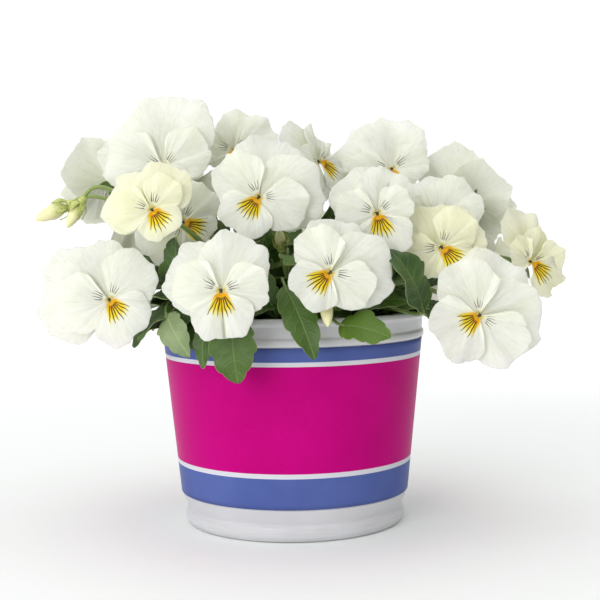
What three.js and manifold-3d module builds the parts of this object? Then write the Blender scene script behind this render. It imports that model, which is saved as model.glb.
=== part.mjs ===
// Potted trailing pansy: a bedding plant in bloom, in its round plastic pot.
// Millimetres, +Z up. The origin is the middle of the pot's flat bottom, and the front looks along -Y.
import * as THREE from 'three';
import { mergeVertices } from 'three/addons/utils/BufferGeometryUtils.js';
import loadManifold from 'manifold-3d';

const wasm = await loadManifold();
wasm.setup();

const DEG = Math.PI / 180;
const UP = new THREE.Vector3(0, 0, 1);
const SMALLEST = 0.25;              // slivers left by joining are dropped below this
const LOOSE_VOLUME = 1;             // a body larger than this is a piece, and not a sealed hollow
const GAP = 0.3;                    // clearance between pieces that rest in or on each other

// Pot: outer radii follow a straight taper, with the foot below it and the rim above it
const SIDES = 30;
const WALL_SLOPE = 0.1018;          // growth of the radius for each millimetre of height
const PRINT_RADIUS = 64.22;         // radius that the label's taper would have at the bottom
const LABEL_LOW = 18.2;
const LABEL_HIGH = 106;
const LABEL_THICK = 0.6;
const WALL = 1.6;
const FLOOR = 2;
const FLOOR_RADIUS = 59.6;          // inside the pot, at its floor
const POT_HEIGHT = 121.5;
const DRAIN_COUNT = 6;
const DRAIN_RADIUS = 4;
const DRAIN_CIRCLE = 44;

// Soil
const SOIL_TOP = 107;
const SOIL_LUMP = 1.6;
const SOIL_SIDES = 15;
const SOIL_SHOULDER = 2;            // how far the soil sinks towards the pot's wall
const SOIL_RINGS = [50, 25];
const STEM_RADIUS = 2.1;
const HOLE_RADIUS = 2.9;
const HOLE_BOTTOM = 92;
const HOLE_LENGTH = 30;

// Bloom: lengths from the throat, angles in degrees
const PETAL_THICK = 0.8;
const FUNNEL = 3;                   // how far the petals sink towards the throat
const RUFFLE = 1.5;
const SCALLOP = 0.03;
const WAVES = 3;                    // ruffles along the edge of one petal
const CORE_FRONT = 0.7;
const CORE_BACK = 6.5;
const CORE_RADIUS = 2.4;
const CORE_SIDES = 4;
// Upper left, upper right, side left, side right and lip, as seen from the front
const PETALS = [
  { angle: -36, reach: 37, spread: 64, round: 0.4, lean: -15, depth: -2.2, curl: 2, sway: 1, notch: 0 },
  { angle: 35, reach: 37, spread: 64, round: 0.4, lean: -7, depth: -0.8, curl: 2, sway: 1, notch: 0 },
  { angle: -100, reach: 28, spread: 54, round: 0.45, lean: 0, depth: 0.5, curl: 0.4, sway: 0.6, notch: 0 },
  { angle: 100, reach: 28, spread: 54, round: 0.45, lean: 2, depth: 0.9, curl: 0.4, sway: 0.6, notch: 0 },
  { angle: 180, reach: 25, spread: 63, round: 0.3, lean: 9, depth: 1.8, curl: 1, sway: 0.6, notch: 0.09 },
];
const BENT_CURL = 0.5;              // petals that curl more than this have a row of points in the middle
const ROOT_OUT = 0.8;               // where a petal's root sits in the core
const MIDDLE_ROW = { u: 0.55, count: 3 };
const EDGE_ROW = { u: 1, count: 2 * WAVES + 1 };

// Calyx behind each bloom
const CALYX_FRONT = CORE_BACK + GAP;
const CALYX_LENGTH = 4.5;
const CALYX_RADIUS = 3;
const CALYX_NOTCH = -0.8;           // the corners between the sepals lie this far behind the front
const SEPALS = 5;
const BLOOM_SEPALS = { reach: 12, forward: -1.4 };
const BUD_SEPALS = { reach: 8.5, forward: 3 };

// Greens
const STALK_RADIUS = 1.4;
const STALK_HOOK = 0.2;             // straight run behind a bloom, as a share of the stalk's span
const STALK_LEAN = 0.25;
const STALK_RISE = { share: 0.45, least: 30 };
const HOOK_RISE = 6;                // a bloom nods from a stalk that comes over it
const PETIOLE_RADIUS = 1.1;
const PETIOLE_RISE = { share: 0.4, least: 14 };
const PETIOLE_REACH = { share: 0.35, most: 16 };
const STEM_TOP = 127;
const BRANCH_TOP = 125;
const BRANCH_STEP = 2.4;            // stalks and petioles leave a stem one below the other
const FOOT_SHARE = 0.45;            // how far out a stem stands, as a share of its blooms' distance
const PETIOLE_SHARE = 0.12;         // how far under its leaf a petiole runs
const LEAF_THICK = 0.8;
const LEAF_UPTURN = 0.6;            // how much a leaf's upper face looks up, against outwards
const LEAF_ARCH = 0.1;
const LEAF_FOLD = 0.16;
// Along the leaf, the share of its length and of its full half-width at each tooth and notch
const LEAF_EDGE = [[0.2, 0.92], [0.36, 0.84], [0.48, 1], [0.72, 0.62]];
const LEAF_TURNS = [0, 5, -5, 10, -10, 15, -15, 20, -20, 26, -26, 32, -32];
const LEAF_RISES = [0, 5, 10, -5];
const STEM_REACH = 0.7;             // a leaf grows from the stem nearest to this share of its base's radius

const petalWhite = new THREE.MeshStandardMaterial({ color: 0xf4f3e4, roughness: 0.6, metalness: 0 });
const petalCream = new THREE.MeshStandardMaterial({ color: 0xf2efcf, roughness: 0.6, metalness: 0 });
const budCream = new THREE.MeshStandardMaterial({ color: 0xe6e2a8, roughness: 0.6, metalness: 0 });
const leafGreen = new THREE.MeshStandardMaterial({ color: 0x4f6b2c, roughness: 0.5, metalness: 0 });
const potWhite = new THREE.MeshStandardMaterial({ color: 0xdedee2, roughness: 0.4, metalness: 0 });
const labelPink = new THREE.MeshStandardMaterial({ color: 0xc70580, roughness: 0.35, metalness: 0 });
const soilBrown = new THREE.MeshStandardMaterial({ color: 0x3a2b20, roughness: 0.95, metalness: 0 });

// Each bloom: throat position, yaw (0 looks to the front, + to the right), pitch (+ looks up),
// roll (+ swings the lip to the right), size, and cup (+ closes the petals forward).
// The nearest blooms also give the angle and reach of their five petals.
const BLOOMS = [
  {
    name: 'bloom_front_left', at: [-98, -58, 132], yaw: -8, pitch: 6, roll: 40, size: 1, cup: 0,
    angles: [-40, 15, -57, 85, 180], reaches: [47, 34, 31, 31, 28],
  },
  {
    name: 'bloom_far_left', at: [-109.5, 22, 199], yaw: -150, pitch: 8, roll: 0, size: 1, cup: 0,
    angles: [-36, 58, -100, 126, 180], reaches: [24, 32, 22, 29, 29],
  },
  {
    name: 'bloom_top_left', at: [-72.5, -12, 205.5], yaw: -5, pitch: 14, roll: 18, size: 1, cup: 0,
    angles: [-32, 24, -64, 80, 180], reaches: [46, 46, 34, 29, 20],
  },
  {
    name: 'bloom_cream_left', at: [-72, -76, 179.5], yaw: -4, pitch: 12, roll: 35, size: 1, cup: 0,
    angles: [-30, 57, -53, 68, 180], reaches: [31, 27.5, 22.5, 20, 19.5], hook: 8, cream: true,
  },
  {
    name: 'bloom_behind_cream', at: [-59, -41, 173], yaw: 8, pitch: 8, roll: 60, size: 1, cup: 0,
    angles: [-36, 35, -100, 100, 180], reaches: [30, 30, 28, 24, 19.5],
  },
  {
    name: 'bloom_top_back_left', at: [-33, 14, 216], yaw: 5, pitch: 14, roll: 0, size: 1, cup: 0,
    angles: [-36, 22, -90, 62, 180], reaches: [24, 27, 20, 27, 20],
  },
  {
    name: 'bloom_center', at: [-17, -62, 185.5], yaw: 0, pitch: 6, roll: -37, size: 1, cup: 0,
    angles: [-22, 43, -82, 71, 180], reaches: [37.5, 36, 28, 27, 25],
  },
  {
    name: 'bloom_top_middle', at: [18, -4, 207.5], yaw: 62, pitch: 15, roll: 40, size: 1, cup: 0,
    angles: [0, 75, -70, 112, 180], reaches: [30, 25, 26, 17, 22],
  },
  {
    name: 'bloom_front', at: [-35.5, -102, 138], yaw: -2, pitch: 4, roll: 4, size: 1, cup: 0,
    angles: [-58, 30, -74, 89, 180], reaches: [33, 31.5, 24.5, 24.5, 26.5],
  },
  {
    name: 'bloom_front_middle', at: [19.5, -92, 146], yaw: 3, pitch: 6, roll: -52, size: 1, cup: 0,
    angles: [-42, 33, -77, 70, 180], reaches: [31, 34.5, 25, 24.5, 23.5],
  },
  {
    name: 'bloom_right_of_center', at: [46, -60, 176], yaw: 3, pitch: 6, roll: 12, size: 1, cup: 0,
    angles: [-28, 35, -73, 77, 180], reaches: [29.5, 27, 23, 20, 26.5],
  },
  {
    name: 'bloom_top_right', at: [59, 2, 203], yaw: 0, pitch: 15, roll: 0, size: 1, cup: 0,
    angles: [-52, 8, -100, 72, 180], reaches: [37, 34, 26, 22, 22],
  },
  {
    name: 'bloom_cream_right', at: [81, -54, 157.5], yaw: 6, pitch: 8, roll: 40, size: 1, cup: 0,
    angles: [35, 100, -72, 75, 180], reaches: [27, 27, 24, 23.5, 20], cream: true,
  },
  {
    name: 'bloom_upper_right', at: [107, 12, 183], yaw: 150, pitch: 12, roll: 0, size: 1, cup: 0,
    angles: [-48, 30, -115, 100, 180], reaches: [32, 38, 27, 24, 27],
  },
  {
    name: 'bloom_far_right', at: [136, -22, 148], yaw: 38, pitch: 2, roll: 40, size: 1, cup: 0,
    angles: [50, 95, -22, 138, 180], reaches: [34, 24, 20, 26, 22], cream: true,
  },
  {
    name: 'bloom_front_right', at: [97.5, -76, 122], yaw: 5, pitch: 4, roll: -60, size: 1, cup: 0,
    angles: [-30, 35, -82, 80, 180], reaches: [39, 36, 31, 30.5, 30],
  },
  { name: 'bloom_high_right', at: [81, -31, 173.5], yaw: 0, pitch: 14, roll: -15, size: 0.8, cup: 0 },
  { name: 'bloom_back_right', at: [124, 50, 150], yaw: 110, pitch: 10, roll: 0, size: 0.95, cup: 0 },
  { name: 'bloom_back_low_right', at: [80, 92, 138], yaw: 140, pitch: 5, roll: -20, size: 1, cup: 0 },
  { name: 'bloom_back', at: [18, 116, 148], yaw: 172, pitch: 8, roll: 15, size: 1, cup: 0 },
  { name: 'bloom_back_low_left', at: [-50, 108, 134], yaw: 205, pitch: 5, roll: 30, size: 0.95, cup: 0 },
  { name: 'bloom_back_left', at: [-109, 55, 142], yaw: 245, pitch: 8, roll: -15, size: 1, cup: 0 },
  { name: 'bloom_high_back_right', at: [62, 56, 186], yaw: 140, pitch: 40, roll: 0, size: 0.9, cup: 0 },
  { name: 'bloom_high_back', at: [-8, 66, 194], yaw: 185, pitch: 40, roll: 20, size: 0.95, cup: 0 },
  { name: 'bloom_high_back_left', at: [-72, 46, 186], yaw: 235, pitch: 35, roll: 0, size: 0.9, cup: 0 },
];

// Buds use the same frame as the blooms: they nod or look out on their own stalks
const BUDS = [
  { name: 'bud_left', at: [-133, -16, 181], yaw: -85, pitch: -25, roll: 0, length: 19, width: 9 },
  { name: 'bud_low_left', at: [-120, -30, 178.5], yaw: -75, pitch: -60, roll: 0, length: 15, width: 7 },
  { name: 'bud_rim', at: [17.5, -87, 128], yaw: 5, pitch: -62, roll: 0, length: 17, width: 7, hook: 8 },
  { name: 'bud_inner', at: [-6, -46, 164], yaw: -10, pitch: 50, roll: 0, length: 12, width: 6 },
  { name: 'bud_back', at: [-20, 98, 176], yaw: 190, pitch: 55, roll: 0, length: 15, width: 7 },
  { name: 'bud_back_right', at: [112, 66, 128], yaw: 125, pitch: -35, roll: 0, length: 16, width: 8 },
];

const STEMS = [
  { name: 'stem_left', flowers: ['bloom_far_left', 'bloom_front_left', 'bud_left', 'bud_low_left'] },
  { name: 'stem_upper_left', flowers: ['bloom_top_left', 'bloom_behind_cream'] },
  { name: 'stem_front_left', flowers: ['bloom_cream_left', 'bloom_front'] },
  { name: 'stem_front', flowers: ['bloom_center', 'bloom_front_middle', 'bud_rim', 'bud_inner'] },
  { name: 'stem_front_right', flowers: ['bloom_right_of_center', 'bloom_front_right'] },
  { name: 'stem_upper_right', flowers: ['bloom_cream_right', 'bloom_high_right'] },
  { name: 'stem_right', flowers: ['bloom_far_right', 'bloom_upper_right'] },
  { name: 'stem_middle_right', flowers: ['bloom_top_right', 'bloom_top_middle'] },
  { name: 'stem_middle_left', flowers: ['bloom_top_back_left', 'bloom_high_back'] },
  { name: 'stem_back_right', flowers: ['bloom_back_right', 'bloom_back_low_right', 'bud_back_right'] },
  { name: 'stem_back', flowers: ['bloom_back', 'bloom_high_back_right', 'bud_back'] },
  { name: 'stem_back_left', flowers: ['bloom_back_low_left'] },
  { name: 'stem_far_left', flowers: ['bloom_back_left', 'bloom_high_back_left'] },
];

// Leaves at the front, each from its base to its tip, with its width and the stem that bears it
const FRONT_LEAVES = [
  { stem: 'stem_front_left', base: [-31, -86, 126], tip: [-28, -90, 90], width: 27 },
  { stem: 'stem_front_left', base: [-44, -78, 122], tip: [-46, -84, 97], width: 11 },
  { stem: 'stem_left', base: [-62, -48, 124], tip: [-86, -58, 107], width: 22 },
  { stem: 'stem_left', base: [-72, -56, 124], tip: [-60, -78, 103], width: 17 },
  { stem: 'stem_upper_left', base: [-52, -52, 129], tip: [-46, -74, 104], width: 25 },
  { stem: 'stem_front', base: [-4, -76, 139], tip: [11, -92, 102], width: 19 },
  { stem: 'stem_front_right', base: [24, -82, 118], tip: [50, -90, 112], width: 21 },
  { stem: 'stem_front_right', base: [74, -62, 119], tip: [57, -74, 152], width: 27 },
  { stem: 'stem_front_right', base: [46, -74, 116], tip: [76, -80, 121], width: 13 },
  { stem: 'stem_front', base: [-10, -66, 126], tip: [-21, -72, 155], width: 14 },
  { stem: 'stem_upper_right', base: [70, -50, 124], tip: [80, -60, 111], width: 12 },
  { stem: 'stem_upper_left', base: [-60, -50, 128], tip: [-66, -56, 160], width: 28 },
  { stem: 'stem_middle_left', base: [-10, -22, 150], tip: [-16, -32, 172], width: 20 },
  { stem: 'stem_middle_right', base: [16, -24, 164], tip: [24, -42, 188], width: 16 },
];

// The other leaves stand in two rings: one hangs over the rim, one leans out between the blooms
const LEAF_RINGS = [
  { from: -22, to: 202, count: 10, base: [62, 127], tip: [99, 112], width: 26, droop: 6 },
  { from: -10, to: 190, count: 8, base: [40, 136], tip: [74, 152], width: 25, droop: 5 },
];
const RING_SWING = 0.12;            // radians by which a tip may swing sideways
const DROOP_SEED = 40;
const SWING_SEED = 60;

const plant = new THREE.Group();

// Solids and meshes

function solidOf(geometry) {
  const bare = geometry.index ? geometry.toNonIndexed() : geometry.clone();
  bare.deleteAttribute('normal');
  bare.deleteAttribute('uv');
  const merged = mergeVertices(bare, 1e-4);
  return new wasm.Manifold(new wasm.Mesh({
    numProp: 3,
    vertProperties: new Float32Array(merged.attributes.position.array),
    triVerts: new Uint32Array(merged.index.array),
  }));
}

function addMesh(name, solid, material) {
  const shape = solid.getMesh();
  const geometry = new THREE.BufferGeometry();
  const corners = new Float32Array(shape.vertProperties);
  geometry.setAttribute('position', new THREE.BufferAttribute(corners, 3));
  geometry.setIndex(new THREE.BufferAttribute(new Uint32Array(shape.triVerts), 1));
  geometry.computeVertexNormals();
  const mesh = new THREE.Mesh(geometry, material);
  mesh.name = name;
  plant.add(mesh);
}

function turned(profile, sides) {
  const points = profile.map(([radius, height]) => new THREE.Vector2(radius, height));
  const geometry = new THREE.LatheGeometry(points, sides);
  geometry.rotateX(90 * DEG);
  return geometry;
}

function tube(curve, radius, sides, steps) {
  const section = new THREE.Shape();
  for (let side = 0; side < sides; side += 1) {
    const angle = (side / sides) * 2 * Math.PI;
    const x = radius * Math.cos(angle);
    const y = radius * Math.sin(angle);
    if (side === 0) section.moveTo(x, y);
    else section.lineTo(x, y);
  }
  const options = { steps, bevelEnabled: false, extrudePath: curve, curveSegments: 1 };
  return solidOf(new THREE.ExtrudeGeometry(section, options));
}

// A thin sheet through rows of points, with both faces split into triangles alike.
// Each point carries its own half-thickness vector, towards the front face.
function sheet(rows) {
  const starts = [];
  let count = 0;
  for (const row of rows) {
    starts.push(count);
    count += row.length;
  }
  const points = rows.flat();
  const faces = [];
  for (let r = 0; r + 1 < rows.length; r += 1) {
    stitch(faces, starts[r], rows[r].length, starts[r + 1], rows[r + 1].length);
  }
  const positions = [];
  const corner = (index, side) => {
    const { at, half } = points[index];
    positions.push(at.x + side * half.x, at.y + side * half.y, at.z + side * half.z);
  };
  for (const [a, b, c] of faces) {
    for (const index of [a, b, c]) corner(index, 1);
    for (const index of [c, b, a]) corner(index, -1);
  }
  const rim = outline(rows, starts);
  rim.forEach((a, i) => {
    const b = rim[(i + 1) % rim.length];
    corner(a, -1);
    corner(b, -1);
    corner(b, 1);
    corner(a, -1);
    corner(b, 1);
    corner(a, 1);
  });
  const geometry = new THREE.BufferGeometry();
  geometry.setAttribute('position', new THREE.Float32BufferAttribute(positions, 3));
  return solidOf(geometry);
}

function stitch(faces, lowStart, lowCount, highStart, highCount) {
  let low = 0;
  let high = 0;
  while (low < lowCount - 1 || high < highCount - 1) {
    const nextLow = lowCount > 1 ? (low + 1) / (lowCount - 1) : 2;
    const nextHigh = highCount > 1 ? (high + 1) / (highCount - 1) : 2;
    if (high < highCount - 1 && (nextHigh <= nextLow || low === lowCount - 1)) {
      faces.push([lowStart + low, highStart + high + 1, highStart + high]);
      high += 1;
    } else {
      faces.push([lowStart + low, lowStart + low + 1, highStart + high]);
      low += 1;
    }
  }
}

function outline(rows, starts) {
  const last = rows.length - 1;
  const loop = [];
  for (let i = 0; i < rows[0].length; i += 1) loop.push(starts[0] + i);
  for (let r = 1; r < last; r += 1) loop.push(starts[r] + rows[r].length - 1);
  for (let i = rows[last].length - 1; i >= 0; i -= 1) loop.push(starts[last] + i);
  for (let r = last - 1; r > 0; r -= 1) if (rows[r].length > 1) loop.push(starts[r]);
  return loop;
}

// Pot, label and soil

const printRadius = (height) => PRINT_RADIUS + WALL_SLOPE * height;
const wallRadius = (height) => printRadius(height) - LABEL_THICK - GAP;
const innerRadius = (height) => wallRadius(height) - WALL;

function potSolid() {
  const profile = [
    [0, 0],
    [61.8, 0],
    [63.9, 3],
    [63.4, 8],
    [61.9, 9.4],
    [wallRadius(LABEL_LOW - 0.6) + 0.6, LABEL_LOW - 0.6],
    [wallRadius(LABEL_LOW), LABEL_LOW],
    [wallRadius(LABEL_HIGH), LABEL_HIGH],
    [76, LABEL_HIGH + 1],
    [76, LABEL_HIGH + 4],
    [75, LABEL_HIGH + 5],
    [75.4, POT_HEIGHT - 4],
    [77.3, POT_HEIGHT - 3],
    [76.9, POT_HEIGHT],
    [74.4, POT_HEIGHT],
    [innerRadius(LABEL_HIGH) + 0.5, LABEL_HIGH + 5],
    [innerRadius(LABEL_LOW), LABEL_LOW],
    [FLOOR_RADIUS, FLOOR],
    [0, FLOOR],
  ];
  const drain = new THREE.CylinderGeometry(DRAIN_RADIUS, DRAIN_RADIUS, 3 * FLOOR, 8);
  drain.rotateX(90 * DEG);
  const drains = [];
  for (let i = 0; i < DRAIN_COUNT; i += 1) {
    const angle = (i / DRAIN_COUNT) * 360 * DEG;
    const hole = drain.clone().translate(DRAIN_CIRCLE * Math.cos(angle), DRAIN_CIRCLE * Math.sin(angle), 0);
    drains.push(solidOf(hole));
  }
  return solidOf(turned(profile, SIDES)).subtract(wasm.Manifold.union(drains));
}

function labelSolid() {
  const low = LABEL_LOW + GAP;
  const profile = [
    [printRadius(low), low],
    [printRadius(LABEL_HIGH), LABEL_HIGH],
    [printRadius(LABEL_HIGH) - LABEL_THICK, LABEL_HIGH],
    [printRadius(low) - LABEL_THICK, low],
    [printRadius(low), low],
  ];
  return solidOf(turned(profile, SIDES));
}

function soilSolid(feet) {
  const low = FLOOR + GAP;
  const profile = [
    [0, low],
    [FLOOR_RADIUS - GAP, low],
    [innerRadius(LABEL_LOW) - GAP, LABEL_LOW],
    [innerRadius(SOIL_TOP) - GAP, SOIL_TOP - SOIL_SHOULDER],
    ...SOIL_RINGS.map((radius) => [radius, SOIL_TOP]),
    [0, SOIL_TOP],
  ];
  const geometry = turned(profile, SOIL_SIDES);
  const position = geometry.attributes.position;
  for (let i = 0; i < position.count; i += 1) {
    const x = position.getX(i);
    const y = position.getY(i);
    const z = position.getZ(i);
    if (z > SOIL_TOP - SOIL_SHOULDER / 2) position.setZ(i, z + SOIL_LUMP * lump(x, y));
  }
  const hole = new THREE.CylinderGeometry(HOLE_RADIUS, HOLE_RADIUS, HOLE_LENGTH, 6);
  hole.rotateX(90 * DEG);
  const middle = HOLE_BOTTOM + HOLE_LENGTH / 2;
  const holes = feet.map(([x, y]) => solidOf(hole.clone().translate(x, y, middle)));
  return solidOf(geometry).subtract(wasm.Manifold.union(holes));
}

function lump(x, y) {
  return Math.sin(x * 0.21 + 1.3) * Math.cos(y * 0.17 - 0.4) + 0.5 * Math.sin(x * 0.43 - y * 0.37);
}

// Bloom: X to the viewer's right, Y away from the lip, Z towards the viewer

function facing(bloom) {
  const yaw = bloom.yaw * DEG;
  const pitch = bloom.pitch * DEG;
  return new THREE.Vector3(
    Math.sin(yaw) * Math.cos(pitch),
    -Math.cos(yaw) * Math.cos(pitch),
    Math.sin(pitch),
  );
}

function bloomFrame(bloom) {
  const front = facing(bloom);
  const above = UP.clone().addScaledVector(front, -UP.dot(front)).normalize();
  const away = above.applyAxisAngle(front, bloom.roll * DEG);
  const right = new THREE.Vector3().crossVectors(away, front);
  const frame = new THREE.Matrix4().makeBasis(right, away, front);
  return frame.setPosition(new THREE.Vector3(...bloom.at));
}

// A steady draw between 0 and 1 for each whole number
const draw = (seed) => ((seed * 2654435761) % 4294967296) / 4294967296;

function petalOf(bloom, i) {
  const petal = { ...PETALS[i] };
  if (bloom.angles) petal.angle = bloom.angles[i];
  petal.reach = bloom.reaches ? bloom.reaches[i] : petal.reach * bloom.size;
  petal.lean += bloom.cup;
  return petal;
}

// u runs from the throat to the edge, v from one side of the petal to the other
function petalPoint(petal, seed, u, v) {
  const phi = v * petal.spread * DEG;
  const wave = Math.cos(WAVES * Math.PI * (v + 1));
  const strength = (1 - 0.4 * v * v) * (0.8 + 0.4 * Math.sin(3 * v + 6 * draw(seed)));
  const notch = petal.notch * Math.exp(-((v / 0.2) ** 2));
  const edge = petal.reach * (Math.cos(phi) ** petal.round - notch);
  const out = u * edge * (1 + SCALLOP * u * wave);
  const sway = petal.sway * Math.sin(2 * v + 6 * draw(seed + 7)) * u * u;
  const curl = petal.curl * u ** 4;
  return {
    along: out * Math.cos(phi),
    across: out * Math.sin(phi),
    lift: petal.depth - FUNNEL * (1 - u) ** 2 + RUFFLE * strength * wave * u ** 2.5 + sway - curl,
  };
}

function petalSolid(petal, seed) {
  const angle = petal.angle * DEG;
  const lean = petal.lean * DEG;
  const axis = new THREE.Vector3(Math.sin(angle), Math.cos(angle), 0);
  const side = new THREE.Vector3(Math.cos(angle), -Math.sin(angle), 0);
  const outward = axis.clone().multiplyScalar(Math.cos(lean)).addScaledVector(UP, Math.sin(lean));
  const normal = UP.clone().multiplyScalar(Math.cos(lean)).addScaledVector(axis, -Math.sin(lean));
  const half = normal.clone().multiplyScalar(PETAL_THICK / 2);
  const root = { u: ROOT_OUT / petal.reach, count: 1 };
  const rows = petal.curl < BENT_CURL ? [root, EDGE_ROW] : [root, MIDDLE_ROW, EDGE_ROW];
  return sheet(rows.map(({ u, count }) => {
    const row = [];
    for (let i = 0; i < count; i += 1) {
      const v = count > 1 ? (2 * i) / (count - 1) - 1 : 0;
      const { along, across, lift } = petalPoint(petal, seed, u, v);
      const at = outward.clone().multiplyScalar(along);
      at.addScaledVector(side, across).addScaledVector(normal, lift);
      row.push({ at, half });
    }
    return row;
  }));
}

// Joined sheets can seal small hollows between them. They are filled by keeping the outer body alone.
function filled(solid) {
  const bodies = solid.decompose();
  const pieces = bodies.filter((body) => body.volume() > LOOSE_VOLUME);
  if (pieces.length !== 1) throw new Error('a petal, stalk or leaf is loose from its piece');
  return pieces[0];
}

function bloomSolid(bloom, order) {
  const depth = CORE_BACK - CORE_FRONT;
  const turn = 180 / CORE_SIDES * DEG;
  const core = new THREE.CylinderGeometry(CORE_RADIUS, CORE_RADIUS - 0.4, depth, CORE_SIDES, 1, false, turn);
  core.rotateX(90 * DEG);
  core.translate(0, 0, -(CORE_FRONT + depth / 2));
  const pieces = PETALS.map((_, i) => petalSolid(petalOf(bloom, i), order * 5 + i));
  pieces.push(solidOf(core));
  const whole = filled(wasm.Manifold.union(pieces)).simplify(SMALLEST);
  return whole.transform(bloomFrame(bloom).elements);
}

// Calyx, stalks and leaves

// A star of five keeled sepals: flat in front, and drawn back to a point where the stalk enters
function calyxSolid(flower) {
  const { reach, forward } = flower.length ? BUD_SEPALS : BLOOM_SEPALS;
  const center = [0, 0, -CALYX_FRONT];
  const back = [0, 0, -(CALYX_FRONT + CALYX_LENGTH)];
  const star = [];
  for (let i = 0; i < 2 * SEPALS; i += 1) {
    const angle = (i + 0.5) * (180 / SEPALS) * DEG;
    const tip = i % 2 === 1;
    const radius = tip ? reach : CALYX_RADIUS;
    const height = -CALYX_FRONT + (tip ? forward : CALYX_NOTCH);
    star.push([radius * Math.sin(angle), radius * Math.cos(angle), height]);
  }
  const positions = [];
  star.forEach((corner, i) => {
    const next = star[(i + 1) % star.length];
    positions.push(...center, ...next, ...corner);
    positions.push(...back, ...corner, ...next);
  });
  const geometry = new THREE.BufferGeometry();
  geometry.setAttribute('position', new THREE.Float32BufferAttribute(positions, 3));
  return solidOf(geometry).transform(bloomFrame(flower).elements);
}

// A stem stands inside the ring of its own blooms. Buds don't pull it out.
function footOf(stem) {
  const center = new THREE.Vector3();
  const blooms = stem.flowers.filter((name) => name.startsWith('bloom'));
  for (const name of blooms) center.add(new THREE.Vector3(...flowerNamed(name).at));
  center.multiplyScalar(FOOT_SHARE / blooms.length);
  return [center.x, center.y];
}

const flowerNamed = (name) => [...BLOOMS, ...BUDS].find((flower) => flower.name === name);
const stemNamed = (name) => STEMS.find((stem) => stem.name === name);

// Where a stalk heads for as it leaves the stem: mostly up, and a little towards its end
function leaning(start, end, height) {
  const away = new THREE.Vector3(end.x - start.x, end.y - start.y, 0);
  return start.clone().addScaledVector(away, STALK_LEAN).addScaledVector(UP, height);
}

function branchStart(stem, order) {
  const [x, y] = footOf(stem);
  return new THREE.Vector3(x, y, BRANCH_TOP - BRANCH_STEP * order);
}

function stalkCurve(start, flower) {
  const front = facing(flower);
  const end = new THREE.Vector3(...flower.at).addScaledVector(front, -(CALYX_FRONT + CALYX_LENGTH - 1));
  const span = start.distanceTo(end);
  const rise = leaning(start, end, Math.max(STALK_RISE.share * span, STALK_RISE.least));
  const hook = end.clone().addScaledVector(front, -(flower.hook ?? STALK_HOOK * span));
  hook.z += HOOK_RISE;
  return new THREE.CubicBezierCurve3(start, rise, hook, end);
}

function stemPieces(stem) {
  const foot = footOf(stem);
  const root = new THREE.Vector3(foot[0], foot[1], HOLE_BOTTOM + GAP);
  const top = new THREE.Vector3(foot[0], foot[1], STEM_TOP);
  const pieces = [tube(new THREE.LineCurve3(root, top), STEM_RADIUS, 5, 1)];
  stem.flowers.forEach((name, order) => {
    const flower = flowerNamed(name);
    pieces.push(tube(stalkCurve(branchStart(stem, order), flower), STALK_RADIUS, 3, 3));
    pieces.push(calyxSolid(flower));
  });
  return pieces;
}

function budSolid(bud) {
  const low = -CORE_BACK + 0.4;
  const half = bud.width / 2;
  const profile = [
    [0, low],
    [1, low],
    [0.8 * half, low + 1.8],
    [half, low + 0.4 * bud.length],
    [0.66 * half, low + 0.78 * bud.length],
    [0, low + bud.length],
  ];
  return solidOf(turned(profile, 6)).transform(bloomFrame(bud).elements);
}

// A leaf's own frame: along it from base to tip, across it, and out of its upper face
function leafFrame(leaf) {
  const base = new THREE.Vector3(...leaf.base);
  const along = new THREE.Vector3(...leaf.tip).sub(base);
  const length = along.length();
  along.normalize();
  const face = new THREE.Vector3(leaf.base[0] + leaf.tip[0], leaf.base[1] + leaf.tip[1], 0).normalize();
  face.z = LEAF_UPTURN;
  face.addScaledVector(along, -face.dot(along)).normalize();
  const side = new THREE.Vector3().crossVectors(along, face);
  const midrib = (share) => {
    const arch = LEAF_ARCH * length * 4 * share * (1 - share);
    return base.clone().addScaledVector(along, share * length).addScaledVector(face, arch);
  };
  return { base, along, face, side, midrib };
}

// A scalloped blade, arched along its length and folded a little at the midrib
function leafBlade(leaf, thickness) {
  const { face, side, midrib } = leafFrame(leaf);
  const half = face.clone().multiplyScalar(thickness / 2);
  const point = (share, across) => {
    const at = midrib(share).addScaledVector(side, across);
    at.addScaledVector(face, LEAF_FOLD * Math.abs(across));
    return { at, half };
  };
  const rows = [[point(0, 0)]];
  for (const [share, spread] of LEAF_EDGE) {
    const across = (spread * leaf.width) / 2;
    rows.push([point(share, -across), point(share, 0), point(share, across)]);
  }
  rows.push([point(1, 0)]);
  return sheet(rows);
}

function petiole(leaf, radius) {
  const start = branchStart(stemNamed(leaf.stem), leaf.order);
  const { base, along, midrib } = leafFrame(leaf);
  const span = start.distanceTo(base);
  const rise = leaning(start, base, Math.max(PETIOLE_RISE.share * span, PETIOLE_RISE.least));
  const back = Math.min(PETIOLE_REACH.most, PETIOLE_REACH.share * span);
  const reach = base.clone().addScaledVector(along, -back);
  return tube(new THREE.CubicBezierCurve3(start, rise, reach, midrib(PETIOLE_SHARE)), radius, 3, 3);
}

function ringLeaves(ring) {
  const leaves = [];
  for (let i = 0; i < ring.count; i += 1) {
    const angle = (ring.from + ((ring.to - ring.from) * i) / (ring.count - 1)) * DEG;
    const drop = ring.droop * (draw(DROOP_SEED + i) - 0.5) * 2;
    const swing = angle + RING_SWING * (draw(SWING_SEED + i) - 0.5);
    const base = [ring.base[0] * Math.cos(angle), ring.base[0] * Math.sin(angle), ring.base[1]];
    const tip = [ring.tip[0] * Math.cos(swing), ring.tip[0] * Math.sin(swing), ring.tip[1] + drop];
    leaves.push({ stem: nearestStem(base).name, base, tip, width: ring.width });
  }
  return leaves;
}

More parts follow.
